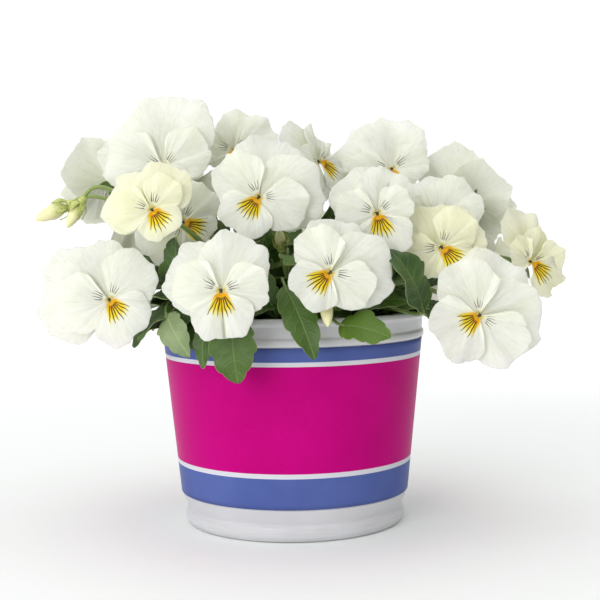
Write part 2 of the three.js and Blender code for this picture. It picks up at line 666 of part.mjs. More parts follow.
function nearestStem(point) {
  const distance = (stem) => {
    const [x, y] = footOf(stem);
    return Math.hypot(x - STEM_REACH * point[0], y - STEM_REACH * point[1]);
  };
  return STEMS.reduce((best, stem) => (distance(stem) < distance(best) ? stem : best));
}

function turnedLeaf(leaf, turn, rise) {
  const spin = (point) => {
    const cos = Math.cos(turn * DEG);
    const sin = Math.sin(turn * DEG);
    return [point[0] * cos - point[1] * sin, point[0] * sin + point[1] * cos, point[2] + rise];
  };
  return { ...leaf, base: spin(leaf.base), tip: spin(leaf.tip) };
}

// A leaf is turned about the pot's middle, and raised, until it is clear of all that stands already
function settledLeaf(leaf, standing) {
  for (const rise of LEAF_RISES) {
    for (const turn of LEAF_TURNS) {
      const moved = turnedLeaf(leaf, turn, rise);
      const blade = leafBlade(moved, LEAF_THICK + 2 * GAP);
      const stalk = petiole(moved, PETIOLE_RADIUS + 2 * GAP);
      const others = standing.filter((piece) => piece.node !== leaf.stem);
      if (isClear(blade, standing) && isClear(stalk, others)) return moved;
    }
  }
  throw new Error('a leaf has no room');
}

function isClear(solid, standing) {
  const box = solid.boundingBox();
  return standing.every((piece) => {
    const apart = [0, 1, 2].some((k) => box.min[k] > piece.box.max[k] || box.max[k] < piece.box.min[k]);
    return apart || solid.intersect(piece.solid).isEmpty();
  });
}

// Assembly

const nodes = new Map();
nodes.set('pot', { solid: potSolid(), material: potWhite });
nodes.set('label', { solid: labelSolid(), material: labelPink });
nodes.set('soil', { solid: soilSolid(STEMS.map(footOf)), material: soilBrown });
BLOOMS.forEach((bloom, order) => {
  const material = bloom.cream ? petalCream : petalWhite;
  nodes.set(bloom.name, { solid: bloomSolid(bloom, order), material });
});
for (const bud of BUDS) nodes.set(bud.name, { solid: budSolid(bud), material: budCream });
for (const stem of STEMS) nodes.set(stem.name, { pieces: stemPieces(stem), material: leafGreen });

const standing = [];
for (const [node, { solid, pieces }] of nodes) {
  for (const piece of pieces ?? [solid]) standing.push({ node, solid: piece, box: piece.boundingBox() });
}
const branches = new Map(STEMS.map((stem) => [stem.name, stem.flowers.length]));
for (const leaf of [...FRONT_LEAVES, ...LEAF_RINGS.flatMap(ringLeaves)]) {
  leaf.order = branches.get(leaf.stem);
  const settled = settledLeaf(leaf, standing);
  const stalk = petiole(settled, PETIOLE_RADIUS);
  const blade = leafBlade(settled, LEAF_THICK);
  nodes.get(leaf.stem).pieces.push(stalk, blade);
  standing.push({ node: leaf.stem, solid: stalk, box: stalk.boundingBox() });
  standing.push({ node: `${leaf.stem} leaves`, solid: blade, box: blade.boundingBox() });
  branches.set(leaf.stem, leaf.order + 1);
}
for (const [name, { solid, pieces, material }] of nodes) {
  addMesh(name, solid ?? filled(wasm.Manifold.union(pieces)).simplify(SMALLEST), material);
}

export default plant;
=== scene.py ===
import math
import random

import bpy
import numpy as np
from mathutils import Matrix, Vector
from mathutils.bvhtree import BVHTree


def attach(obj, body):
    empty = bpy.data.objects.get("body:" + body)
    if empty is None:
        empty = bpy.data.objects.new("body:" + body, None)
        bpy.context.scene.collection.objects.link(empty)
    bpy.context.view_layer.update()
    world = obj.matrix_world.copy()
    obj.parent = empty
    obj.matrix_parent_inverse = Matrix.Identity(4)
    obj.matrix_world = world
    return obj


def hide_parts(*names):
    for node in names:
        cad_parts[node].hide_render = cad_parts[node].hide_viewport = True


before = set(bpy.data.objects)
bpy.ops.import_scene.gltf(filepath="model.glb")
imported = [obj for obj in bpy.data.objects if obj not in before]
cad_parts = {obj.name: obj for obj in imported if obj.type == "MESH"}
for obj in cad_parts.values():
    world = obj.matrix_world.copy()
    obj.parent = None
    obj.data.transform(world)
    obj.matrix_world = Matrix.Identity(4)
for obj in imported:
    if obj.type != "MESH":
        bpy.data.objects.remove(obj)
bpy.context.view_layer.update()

MM = 0.001
UP = np.array([0.0, 0.0, 1.0])

# Pot and label
WALL_SLOPE = 0.1018
PRINT_RADIUS = 64.22
LABEL_LOW, LABEL_HIGH = 18.2, 106.0
LABEL_THICK = 0.6
GAP = 0.3
WALL, FLOOR = 1.6, 2.0
FLOOR_RADIUS = 59.6
POT_HEIGHT = 121.5
DRAINS, DRAIN_RADIUS, DRAIN_CIRCLE, DRAIN_SIDES = 6, 4.0, 44.0, 32
DRILL_HEIGHTS = (-2.0, 5.0)
ROUNDING, ROUNDING_STEPS = 1.1, 5
LOWER_LINE = (35.6, 38.2)
UPPER_LINE = (96.1, 98.5)
AROUND, LABEL_ROWS = 192, 30
# Where the sleeve begins at the back and how wide its seam is there, as angles
SEAM_START, SEAM = 0.03, 0.02

# Soil
SOIL_TOP, SOIL_LUMP = 107.0, 1.6
HOLE_BOTTOM = 92.0
SOIL_SIDES, SOIL_RADIUS, SOIL_GRAINS, SOIL_SEED = 160, 70, 900, 4
# Range of size and proportions of a grain
PALE_GRAIN, DARK_GRAIN = ((0.7, 1.5), (1, 1, 0.8)), ((0.8, 2.6), (1, 0.5, 0.35))

# Bloom
PETAL_THICK, PETAL_ROWS, PETAL_COLUMNS = 0.3, 20, 41
FUNNEL, RUFFLE, SCALLOP, WAVES = 3.0, 1.5, 0.03, 3
CORE_BACK = 6.5
UPPER, SIDE_LEFT, LIP, SIDE_RIGHT = 0, 1, 2, 3
# Added to the kind of a creased lip, so that its material paints shade in the fold
FOLD_SHADE_MARK = 0.12
LIP_ANGLE = 180
PETAL_KEYS = ("kind", "angle", "reach", "spread", "round", "lean", "depth", "curl", "sway", "notch")
# Upper left, upper right, side left, side right and lip, as seen from the front
PETALS = [dict(zip(PETAL_KEYS, row)) for row in (
    (UPPER, -36, 37, 64, 0.4, -15, -2.2, 2, 1, 0),
    (UPPER, 35, 37, 64, 0.4, -7, -0.8, 2, 1, 0),
    (SIDE_LEFT, -100, 28, 54, 0.45, 0, 0.5, 0.4, 0.6, 0),
    (SIDE_RIGHT, 100, 28, 54, 0.45, 2, 0.9, 0.4, 0.6, 0),
    (LIP, LIP_ANGLE, 25, 63, 0.3, 9, 1.8, 1, 0.6, 0.09),
)]
# The throat, from the front of the flower backwards
SPUR_PATH = [(0, 0, -2.4), (0, 0, -3.2), (0, -0.3, -4.5), (0, -0.8, -CORE_BACK)]
SPUR_RADII, SPUR_SIDES = (1.2, 2.3, 2.2, 1.7), 12
PAD_AT, PAD_AXES = (1.2, -0.2, -1.3), (0.3, 0.7, 0.3)
# A dark ball that fills the opening of the throat with painted shade
DARK_AT, DARK_AXES = (0, 0.2, -2.3), (1.3, 1.2, 1.0)
STIGMA_AT, STIGMA_AXES = (0, -0.1, -1.7), (0.6, 0.5, 0.6)

# Bud
BUD_ROWS, BUD_COLUMNS = 22, 36
BUD_LOW = 0.4 - CORE_BACK

# Greens
CALYX_FRONT = CORE_BACK + GAP
CALYX_LENGTH = 4.5
SEPAL_THICK, SEPAL_ROOT, SEPAL_REACH = 0.5, 1.0, 11.5
# How far the sepals come forward and how wide they are, behind a bloom and on a bud
BLOOM_SEPAL, BUD_SEPAL = (-1.2, 3.8), (8.0, 3.4)
STALK_HOOK, STALK_LEAN, HOOK_RISE = 0.2, 0.25, 6
# Radii at both ends, sides and paleness of each sort of stalk, and the points along it
STEM, PETIOLE, RIB = ((2.1, 1.6), 10, 0.2), ((1.15, 0.8), 8, 0.3), ((0.6, 0.12), 6, 0.7)
BLOOM_STALK, BUD_STALK = ((1.43, 1.105), 10, 0.5), ((1.43, 1.105), 10, 1.0)
STEM_POINTS, STALK_POINTS, PETIOLE_POINTS, RIB_POINTS = 8, 22, 12, 14
# Shares of the span, with the least rise or the longest reach
STALK_RISE, PETIOLE_RISE, PETIOLE_REACH = (0.45, 30), (0.4, 14), (0.35, 16)
STEM_TOP, BRANCH_TOP, BRANCH_STEP = 127.0, 125.0, 2.4
FOOT_SHARE, PETIOLE_SHARE = 0.45, 0.12
LEAF_THICK, LEAF_COLUMNS = 0.45, 17
LEAF_UPTURN, LEAF_ARCH, LEAF_FOLD = 0.6, 0.1, 0.16
LEAF_TEETH, LEAF_VEINS, VEIN_SWEEP, VEIN_BEND = 4.6, 6.5, 0.2, 1.25
RIB_DROP, RIB_SHARES = 0.35, (0.072, 0.94)
LEAF_TURNS = [0, 5, -5, 10, -10, 15, -15, 20, -20, 26, -26, 32, -32]
LEAF_RISES = [0, 5, 10, -5]
LEAF_NEAR = 0.75
STEM_REACH = 0.7
RING_SWING, DROOP_SEED, SWING_SEED = 0.12, 40, 60
# Rows of points and first seed of the leaves in the solids, the fill leaves and the inner leaves
SOLID_LEAF, FILL_LEAF, INNER_LEAF = (48, 100), (40, 300), (30, 500)
# Fill and inner leaves leave their stem at most nine steps below its top branch
LOWEST_BRANCH = 9


def flower(name, at, yaw, pitch, roll, angles=None, reaches=None, **more):
    """A bloom or bud with its throat at a point. angles: those of the petals above the lip."""
    return dict(name=name, at=at, yaw=yaw, pitch=pitch, roll=roll,
                angles=angles, reaches=reaches, **more)


# Name, throat, yaw, pitch and roll, then the petals' angles and reaches or the bloom's size
BLOOMS = [
    flower("bloom_front_left", (-98, -58, 132), -8, 6, 40, (-40, 15, -57, 85),
           (47, 34, 31, 31, 28)),
    flower("bloom_far_left", (-109.5, 22, 199), -150, 8, 0, (-36, 58, -100, 126),
           (24, 32, 22, 29, 29)),
    flower("bloom_top_left", (-72.5, -12, 205.5), -5, 14, 18, (-32, 24, -64, 80),
           (46, 46, 34, 29, 20)),
    flower("bloom_cream_left", (-72, -76, 179.5), -4, 12, 35, (-30, 57, -53, 68),
           (31, 27.5, 22.5, 20, 19.5), hook=8, cream=1),
    flower("bloom_behind_cream", (-59, -41, 173), 8, 8, 60, (-36, 35, -100, 100),
           (30, 30, 28, 24, 19.5)),
    flower("bloom_top_back_left", (-33, 14, 216), 5, 14, 0, (-36, 22, -90, 62),
           (24, 27, 20, 27, 20)),
    flower("bloom_center", (-17, -62, 185.5), 0, 6, -37, (-22, 43, -82, 71),
           (37.5, 36, 28, 27, 25)),
    flower("bloom_top_middle", (18, -4, 207.5), 62, 15, 40, (0, 75, -70, 112),
           (30, 25, 26, 17, 22)),
    flower("bloom_front", (-35.5, -102, 138), -2, 4, 4, (-58, 30, -74, 89),
           (33, 31.5, 24.5, 24.5, 26.5), crease=3.4),
    flower("bloom_front_middle", (19.5, -92, 146), 3, 6, -52, (-42, 33, -77, 70),
           (31, 34.5, 25, 24.5, 23.5)),
    flower("bloom_right_of_center", (46, -60, 176), 3, 6, 12, (-28, 35, -73, 77),
           (29.5, 27, 23, 20, 26.5)),
    flower("bloom_top_right", (59, 2, 203), 0, 15, 0, (-52, 8, -100, 72), (37, 34, 26, 22, 22)),
    flower("bloom_cream_right", (81, -54, 157.5), 6, 8, 40, (35, 100, -72, 75),
           (27, 27, 24, 23.5, 20), cream=1),
    flower("bloom_upper_right", (107, 12, 183), 150, 12, 0, (-48, 30, -115, 100),
           (32, 38, 27, 24, 27)),
    flower("bloom_far_right", (136, -22, 148), 38, 2, 40, (50, 95, -22, 138),
           (34, 24, 20, 26, 22), cream=1),
    flower("bloom_front_right", (97.5, -76, 122), 5, 4, -60, (-30, 35, -82, 80),
           (39, 36, 31, 30.5, 30)),
    flower("bloom_high_right", (81, -31, 173.5), 0, 14, -15, size=0.8),
    flower("bloom_back_right", (124, 50, 150), 110, 10, 0, size=0.95),
    flower("bloom_back_low_right", (80, 92, 138), 140, 5, -20, size=1),
    flower("bloom_back", (18, 116, 148), 172, 8, 15, size=1),
    flower("bloom_back_low_left", (-50, 108, 134), 205, 5, 30, size=0.95),
    flower("bloom_back_left", (-109, 55, 142), 245, 8, -15, size=1),
    flower("bloom_high_back_right", (62, 56, 186), 140, 40, 0, size=0.9),
    flower("bloom_high_back", (-8, 66, 194), 185, 40, 20, size=0.95),
    flower("bloom_high_back_left", (-72, 46, 186), 235, 35, 0, size=0.9),
]
BUDS = [
    flower("bud_left", (-133, -16, 181), -85, -25, 0, length=19, width=9),
    flower("bud_low_left", (-120, -30, 178.5), -75, -60, 0, length=15, width=7),
    flower("bud_rim", (17.5, -87, 128), 5, -62, 0, length=17, width=7, hook=8),
    flower("bud_inner", (-6, -46, 164), -10, 50, 0, length=12, width=6),
    flower("bud_back", (-20, 98, 176), 190, 55, 0, length=15, width=7),
    flower("bud_back_right", (112, 66, 128), 125, -35, 0, length=16, width=8),
]
STEMS = {
    "stem_left": ["bloom_far_left", "bloom_front_left", "bud_left", "bud_low_left"],
    "stem_upper_left": ["bloom_top_left", "bloom_behind_cream"],
    "stem_front_left": ["bloom_cream_left", "bloom_front"],
    "stem_front": ["bloom_center", "bloom_front_middle", "bud_rim", "bud_inner"],
    "stem_front_right": ["bloom_right_of_center", "bloom_front_right"],
    "stem_upper_right": ["bloom_cream_right", "bloom_high_right"],
    "stem_right": ["bloom_far_right", "bloom_upper_right"],
    "stem_middle_right": ["bloom_top_right", "bloom_top_middle"],
    "stem_middle_left": ["bloom_top_back_left", "bloom_high_back"],
    "stem_back_right": ["bloom_back_right", "bloom_back_low_right", "bud_back_right"],
    "stem_back": ["bloom_back", "bloom_high_back_right", "bud_back"],
    "stem_back_left": ["bloom_back_low_left"],
    "stem_far_left": ["bloom_back_left", "bloom_high_back_left"],
}
# Stem, base, tip, width and tone of each leaf at the front. The tone runs from 0 for dark green to
# 1 for fresh yellow green, and below 0 the leaf's underside shows.
LEAF_KEYS = ("stem", "base", "tip", "width", "tone")
FRONT_LEAVES = [
    ("stem_front_left", (-31, -86, 126), (-28, -90, 90), 27, 0.5),
    ("stem_front_left", (-44, -78, 122), (-46, -84, 97), 11, 0.25),
    ("stem_left", (-62, -48, 124), (-86, -58, 107), 22, 0.3),
    ("stem_left", (-72, -56, 124), (-60, -78, 103), 17, -1),
    ("stem_upper_left", (-52, -52, 129), (-46, -74, 104), 25, 0.1),
    ("stem_front", (-4, -76, 139), (11, -92, 102), 19, 0.4),
    ("stem_front_right", (24, -82, 118), (50, -90, 112), 21, 0.95),
    ("stem_front_right", (74, -62, 119), (57, -74, 152), 27, 0.0),
    ("stem_front_right", (46, -74, 116), (76, -80, 121), 13, 0.5),
    ("stem_front", (-10, -66, 126), (-21, -72, 155), 14, 0.3),
    ("stem_upper_right", (70, -50, 124), (80, -60, 111), 12, 0.8),
    ("stem_upper_left", (-60, -50, 128), (-66, -56, 160), 28, 0.1),
    ("stem_middle_left", (-10, -22, 150), (-16, -32, 172), 20, 0.2),
    ("stem_middle_right", (16, -24, 164), (24, -42, 188), 16, 0.2),
]
# Small leaves among them that only the scene has: stem, base, tip, width and tone
FILL_LEAVES = [
    ("stem_upper_left", (-56, -46, 126), (-76, -61, 133), 22, 0.05),
    ("stem_left", (-62, -50, 126), (-82, -66, 111), 20, 0.3),
    ("stem_front_left", (-52, -58, 127), (-63, -66, 115), 17, 0.1),
    ("stem_front_right", (30, -62, 128), (62, -59, 129), 13, 0.5),
    ("stem_upper_right", (42, -54, 129), (76, -52, 125), 15, 0.1),
    ("stem_front_right", (12, -62, 128), (32, -79, 128), 14, 0.7),
    ("stem_front", (-8, -60, 130), (-22, -76, 124), 13, 0.2),
]
# Leaves all round the back and the sides. base and tip: distance from the axis, and height.
LEAF_RINGS = [
    dict(start=-22, end=202, count=10, base=(62, 127), tip=(99, 112), width=26, droop=6),
    dict(start=-10, end=190, count=8, base=(40, 136), tip=(74, 152), width=25, droop=5),
]


# Vectors

def vec(*values):
    return np.array(values, float)


def unit(v):
    return v / np.linalg.norm(v)


def at_angle(radius, angle, height=0.0):
    return vec(radius * math.cos(angle), radius * math.sin(angle), height)


def draw(seed):
    return ((seed * 2654435761) % 4294967296) / 4294967296


def bezier(a, b, c, d, count):
    t = np.linspace(0, 1, count)[:, None]
    return (1 - t) ** 3 * a + 3 * t * (1 - t) ** 2 * b + 3 * t * t * (1 - t) * c + t ** 3 * d


# Meshes: a shape is its points and its groups of faces. Every point carries two vectors for the
# materials, "where" and "look".

def linked(name, data):
    made = bpy.data.objects.new(name, data)
    bpy.context.scene.collection.objects.link(made)
    return made


class Piece:
    def __init__(self):
        self.points, self.where, self.look = [], [], []
        self.faces, self.slots = [], []
        self.count = 0

    def add(self, shape, where=(0, 0, 0), look=(0, 0, 0), slot=0):
        points, faces = shape
        points = np.asarray(points, float).reshape(-1, 3)
        for store, values in ((self.points, points), (self.where, where), (self.look, look)):
            store.append(np.broadcast_to(np.asarray(values, float), points.shape))
        for group in faces:
            self.faces.append(np.asarray(group, int) + self.count)
            self.slots.append(np.full(len(group), slot))
        self.count += len(points)

    def build(self, name, materials):
        mesh = bpy.data.meshes.new(name)
        points = np.concatenate(self.points) * MM
        mesh.vertices.add(len(points))
        mesh.vertices.foreach_set("co", points.astype(np.float32).ravel())
        loops = np.concatenate([group.ravel() for group in self.faces])
        sizes = np.concatenate([np.full(len(group), group.shape[1]) for group in self.faces])
        starts = np.concatenate([[0], np.cumsum(sizes)[:-1]])
        mesh.loops.add(len(loops))
        mesh.loops.foreach_set("vertex_index", loops.astype(np.int32))
        mesh.polygons.add(len(sizes))
        mesh.polygons.foreach_set("loop_start", starts.astype(np.int32))
        mesh.polygons.foreach_set("material_index", np.concatenate(self.slots).astype(np.int32))
        mesh.polygons.foreach_set("use_smooth", np.full(len(sizes), True))
        for key, values in (("where", self.where), ("look", self.look)):
            attribute = mesh.attributes.new(key, "FLOAT_VECTOR", "POINT")
            attribute.data.foreach_set("vector", np.concatenate(values).astype(np.float32).ravel())
        for material in materials:
            mesh.materials.append(material)
        mesh.update(calc_edges=True)
        mesh.validate()
        return linked(name, mesh)


def grid_faces(rows, columns):
    i, j = np.meshgrid(np.arange(rows - 1), np.arange(columns - 1), indexing="ij")
    a = (i * columns + j).ravel()
    return np.stack([a, a + 1, a + columns + 1, a + columns], 1)


def shell(grid, thick):
    """A closed thin sheet round a grid of points: its points and faces, front side first."""
    rows, columns, _ = grid.shape
    normal = np.cross(np.gradient(grid, axis=1), np.gradient(grid, axis=0))
    normal /= np.maximum(np.linalg.norm(normal, axis=2, keepdims=True), 1e-9)
    half = normal * (np.broadcast_to(thick, (rows, columns))[..., None] / 2)
    points = np.concatenate([(grid + half).reshape(-1, 3), (grid - half).reshape(-1, 3)])
    front = grid_faces(rows, columns)
    size = rows * columns
    index = np.arange(size).reshape(rows, columns)
    loop = np.concatenate([index[0, :-1], index[:-1, -1], index[-1, :0:-1], index[:0:-1, 0]])
    after = np.roll(loop, -1)
    rim = np.stack([after, loop, loop + size, after + size], 1)
    return points, [front, front[:, ::-1] + size, rim]


def two_sided(where, look, back):
    """The two vectors for a shell. back is the place in look that is 1 on its back side."""
    where = np.concatenate([where.reshape(-1, 3)] * 2)
    look = np.tile(np.array(look, float), (len(where), 1))
    look[len(look) // 2:, back] = 1
    return where, look


def rings(path, radii, sides):
    """Rings of points along a path, with a frame that doesn't twist."""
    tangents = np.gradient(path, axis=0)
    tangents /= np.linalg.norm(tangents, axis=1, keepdims=True)
    normal = np.cross(tangents[0], UP if abs(tangents[0][2]) < 0.9 else vec(1, 0, 0))
    angles = np.arange(sides)[:, None] * 2 * np.pi / sides
    out = []
    for point, tangent, radius in zip(path, tangents, np.broadcast_to(radii, len(path))):
        normal = unit(normal - tangent * normal.dot(tangent))
        side = np.cross(tangent, normal)
        out.append(point + radius * (np.cos(angles) * normal + np.sin(angles) * side))
    return np.array(out)


def ring_faces(count, sides):
    """The closed skin over rings of points that are followed by a point on the axis at each end."""
    i, j = np.meshgrid(np.arange(count - 1), np.arange(sides), indexing="ij")
    low = (i * sides + j).ravel()
    nearby = (i * sides + (j + 1) % sides).ravel()
    around, last = np.arange(sides), (count - 1) * sides
    after = (around + 1) % sides
    return [
        np.stack([low, nearby, nearby + sides, low + sides], 1),
        np.stack([after, around, np.full(sides, count * sides)], 1),
        np.stack([last + around, last + after, np.full(sides, count * sides + 1)], 1),
    ]


def flipped(faces):
    return [group[:, ::-1] for group in faces]


def tube(path, radii, sides):
    ring = rings(path, radii, sides)
    return np.concatenate([ring.reshape(-1, 3), path[:1], path[-1:]]), ring_faces(len(path), sides)


def lathe(profile, sides):
    """Turns a profile of radii and heights that starts and ends on the axis."""
    inner = np.array(profile[1:-1], float)
    angles = np.arange(sides) * 2 * np.pi / sides
    ring = np.stack([inner[:, :1] * np.cos(angles), inner[:, :1] * np.sin(angles),
                     np.broadcast_to(inner[:, 1:], (len(inner), sides))], 2)
    points = np.concatenate([ring.reshape(-1, 3), [[0, 0, profile[0][1]], [0, 0, profile[-1][1]]]])
    return points, ring_faces(len(inner), sides)


def ball(center, axes, rows=8, columns=12):
    """A rounded lump. axes: its three half-axes."""
    polar = np.linspace(0, np.pi, rows)[1:-1, None]
    turn = (np.arange(columns) * 2 * np.pi / columns)[None, :]
    points = np.stack([np.sin(polar) * np.cos(turn), np.sin(polar) * np.sin(turn),
                       np.broadcast_to(np.cos(polar), (rows - 2, columns))], 2).reshape(-1, 3)
    points = np.concatenate([points, [[0, 0, 1], [0, 0, -1]]])
    faces = [np.roll(group, 1, axis=1) for group in flipped(ring_faces(rows - 2, columns))]
    return np.asarray(center) + points @ np.asarray(axes, float), faces


# Materials

def operator(operation, turned=False):
    def run(self, other=0):
        return self.nodes.math(operation, *((other, self) if turned else (self, other)))
    return run


class Value:
    """What one output of a node gives over the surface. It takes part in sums."""

    def __init__(self, nodes, socket):
        self.nodes, self.socket = nodes, socket

    __add__ = __radd__ = operator("ADD")
    __mul__ = __rmul__ = operator("MULTIPLY")
    __sub__, __rsub__ = operator("SUBTRACT"), operator("SUBTRACT", True)
    __truediv__, __pow__, __abs__ = operator("DIVIDE"), operator("POWER"), operator("ABSOLUTE")


class Nodes:
    """Short names for the nodes of one material or of the world."""

    def __init__(self, owner, shader="Principled BSDF"):
        owner.use_nodes = True
        self.owner, self.tree = owner, owner.node_tree
        self.shader = self.tree.nodes[shader]

    def plug(self, socket, value):
        if isinstance(value, Value):
            self.tree.links.new(value.socket, socket)
        elif isinstance(value, tuple) and len(value) == 3 and socket.type == "RGBA":
            socket.default_value = (*value, 1)
        else:
            socket.default_value = value

    def add(self, kind, inputs=(), output=0, **settings):
        """Adds a node and gives one output. inputs: values in order, or by name or place."""
        node = self.tree.nodes.new(kind)
        for name, value in settings.items():
            setattr(node, name, value)
        for key, value in inputs.items() if isinstance(inputs, dict) else enumerate(inputs):
            self.plug(node.inputs[key], value)
        return Value(self, node.outputs[output])

    def xyz(self, vector):
        node = self.tree.nodes.new("ShaderNodeSeparateXYZ")
        self.plug(node.inputs[0], vector)
        return [Value(self, output) for output in node.outputs]

    def vectors(self, name):
        return self.xyz(self.add("ShaderNodeAttribute", output="Vector", attribute_name=name))

    def place(self):
        return self.add("ShaderNodeTexCoord", output="Object")

    def join(self, x, y, z):
        return self.add("ShaderNodeCombineXYZ", (x, y, z))

    def math(self, operation, *values):
        return self.add("ShaderNodeMath", (*values, 0, 0)[:3], operation=operation)

    def length(self, x, y):
        return self.math("SQRT", x * x + y * y)

    def step(self, value, low, high, out_low=0, out_high=1):
        """Runs smoothly from out_low to out_high as value goes from low to high."""
        return self.add("ShaderNodeMapRange", (value, low, high, out_low, out_high),
                        interpolation_type="SMOOTHSTEP")

    def noise(self, scale, detail=2, rough=0.5, vector=None):
        """Noise over a vector, or else in the object's own space."""
        inputs = {"Vector": vector or self.place(), "Scale": scale,
                  "Detail": detail, "Roughness": rough}
        return self.add("ShaderNodeTexNoise", inputs, "Fac")

    def mix(self, share, a, b):
        return self.add("ShaderNodeMix", {"Factor": share, 6: a, 7: b}, 2, data_type="RGBA")

    def bump(self, height, strength, distance):
        inputs = {"Height": height, "Strength": strength, "Distance": distance}
        self.set(Normal=self.add("ShaderNodeBump", inputs))

    def set(self, **values):
        for name, value in values.items():
            self.plug(self.shader.inputs[name.replace("_", " ")], value)
        return self.owner

    def finish(self, colour, rough, soft=(), gloss=0.5, **more):
        """soft: weight, radius and scale of the light that spreads under the surface."""
        soft = dict(zip(("Subsurface_Weight", "Subsurface_Radius", "Subsurface_Scale"), soft))
        return self.set(Base_Color=colour, Roughness=rough, Specular_IOR_Level=gloss,
                        **soft, **more)


def surface(name):
    return Nodes(bpy.data.materials.new(name))


def srgb(red, green, blue):
    """A screen colour as linear light."""
    shares = [value / 255 for value in (red, green, blue)]
    return tuple(v / 12.92 if v <= 0.04045 else ((v + 0.055) / 1.055) ** 2.4 for v in shares)


def petal_material(name, body, shade):
    """where: across and along the petal in mm, and share of its reach. look: kind, seed, back."""
    n = surface(name)
    across, along, share = n.vectors("where")
    kind, seed, back = n.vectors("look")
    angle, radius = n.math("ARCTAN2", across, along), n.length(across, along)
    marks = (SIDE_LEFT, SIDE_RIGHT, LIP)
    is_left, is_right, is_lip = (n.math("COMPARE", kind, mark, 0.2) for mark in marks)
    front = 1 - back

    # Fine veins that fan from the throat, and broad soft shades
    veins = n.noise(1.6, 3, 0.6, n.join(angle * 13, radius * 0.09, seed))
    broad = n.noise(1, vector=n.join(across * 0.07, along * 0.07, seed))
    shaded = n.step(veins, 0.42, 0.72, 0, 0.35) + n.step(broad, 0.42, 0.75, 0, 0.35)
    colour = n.mix(shaded, body, shade)
    near_throat = n.step(share, 0.42, 0.06, 0, 0.5)
    colour = n.mix(near_throat, colour, srgb(240, 240, 196))
    colour = n.mix(back * 0.25, colour, srgb(240, 243, 222))

    # Painted shade in the fold of a creased lip
    creased = n.step(kind - LIP, FOLD_SHADE_MARK / 2, FOLD_SHADE_MARK / 1.2) * is_lip
    painted_fold_shade = n.step(abs(across), 1.5, 0.3) * n.step(radius, 10, 17, 0, 0.6)
    colour = n.mix(creased * painted_fold_shade, colour, srgb(128, 140, 104))

    # The blotch: orange and yellow streaks on the lip, and a faint ring on all petals
    streak = n.noise(2, 1, vector=n.join(angle * 7, 0, seed + 7))
    reach = 7.5 + streak * 10
    side_limit = 2.6 + along * 0.42
    off_axis = n.step(abs(across) - side_limit, -0.8, 1, 1, 0)
    blotch = n.step(reach - radius, -2, 3.5) * off_axis * is_lip
    ring = n.step(radius, 3.4, 1.6, 0, 0.7)
    blotch = n.math("MAXIMUM", blotch, ring) * front
    yellow = n.mix(n.step(radius, 9, 13), srgb(253, 206, 18), srgb(252, 230, 96))
    orange = srgb(249, 168, 0)
    yellow = n.mix(n.step(radius, 8, 3.2) * is_lip, yellow, orange)
    colour = n.mix(blotch, colour, yellow)

    # Whiskers: dark lines on the lip and the side petals, longest in the middle of the lip
    fan_angle = angle - (is_left - is_right) * 0.36
    per_radian = 5.2 + is_lip * 0.2
    wander = n.noise(1, 0, vector=n.join(radius * 0.25, angle * 2, seed))
    turn = fan_angle * per_radian + wander * 0.6 + seed * 3.7
    number = n.math("FLOOR", turn) + seed * 17
    luck = n.add("ShaderNodeTexWhiteNoise", {"W": number}, "Value", noise_dimensions="1D")
    off_line = abs(n.math("FRACT", turn) - 0.5) / per_radian * radius
    length = 9 + is_lip * 5 + luck * 2.6 - abs(fan_angle) * 3
    begin = 3.8 - is_lip * 0.8
    along_line = n.step(radius - begin, 0, 1) * n.step(length - radius, 0, 1.5)
    width = n.step(length - radius, 0, 6, 0.09, 0.23) + is_lip * 0.08
    thin = n.step(off_line - width, 0.07, -0.07)
    within = n.step(0.46 + is_lip * 0.22 - abs(fan_angle), 0, 0.12)
    kept = n.math("MAXIMUM", n.math("MAXIMUM", is_left, is_right), is_lip)
    whisker = along_line * thin * (within * kept) * front * 0.96
    dark = n.mix(blotch, srgb(50, 46, 76), srgb(30, 22, 10))
    colour = n.mix(whisker, colour, dark)

    n.bump(veins + broad * 2, 0.45, 0.0006)
    return n.finish(colour, 0.52 + veins * 0.15, (0.7, (1, 1, 0.8), 0.0016),
                    gloss=0.25, Sheen_Weight=0.12, Sheen_Roughness=0.4)


def leaf_material():
    """where: across in half-widths, along in shares, and across in mm. look: seed, back, tone."""
    n = surface("leaf_green")
    across, share, wide = n.vectors("where")
    seed, back, tone = n.vectors("look")
    beside = abs(across)
    # Side veins leave the midrib forwards and bend as they near the edge
    wobble = n.noise(4, vector=n.join(across, share, seed))
    run = (share - beside ** VEIN_BEND * VEIN_SWEEP) * LEAF_VEINS + wobble * 0.5
    side_vein = n.step(abs(n.math("FRACT", run) - 0.5), 0.1, 0.02) * n.step(beside, 1, 0.5)
    vein = n.math("MAXIMUM", n.step(abs(wide), 0.75, 0.3), side_vein * 0.6)
    patch = n.step(n.noise(70, 3), 0.35, 0.7)
    fine = n.noise(900, 3)
    top = n.mix(patch, srgb(38, 66, 24), srgb(66, 98, 34))
    top = n.mix(tone, top, srgb(90, 122, 34))
    top = n.mix(vein * 0.32, top, srgb(134, 156, 92))
    top = n.mix(fine * 0.25, top, srgb(50, 74, 34))
    under = n.mix(patch, srgb(122, 142, 96), srgb(146, 162, 118))
    under = n.mix(vein * 0.5, under, srgb(164, 178, 130))
    edge = n.step(beside, 0.95, 1, 0, 0.5)
    colour = n.mix(edge, n.mix(back, top, under), srgb(150, 160, 96))
    n.bump(1 - vein + fine * 0.5, 0.5, 0.0005)
    return n.finish(colour, 0.38 + fine * 0.2, (0.08, (0.4, 0.8, 0.2), 0.001), gloss=0.45)


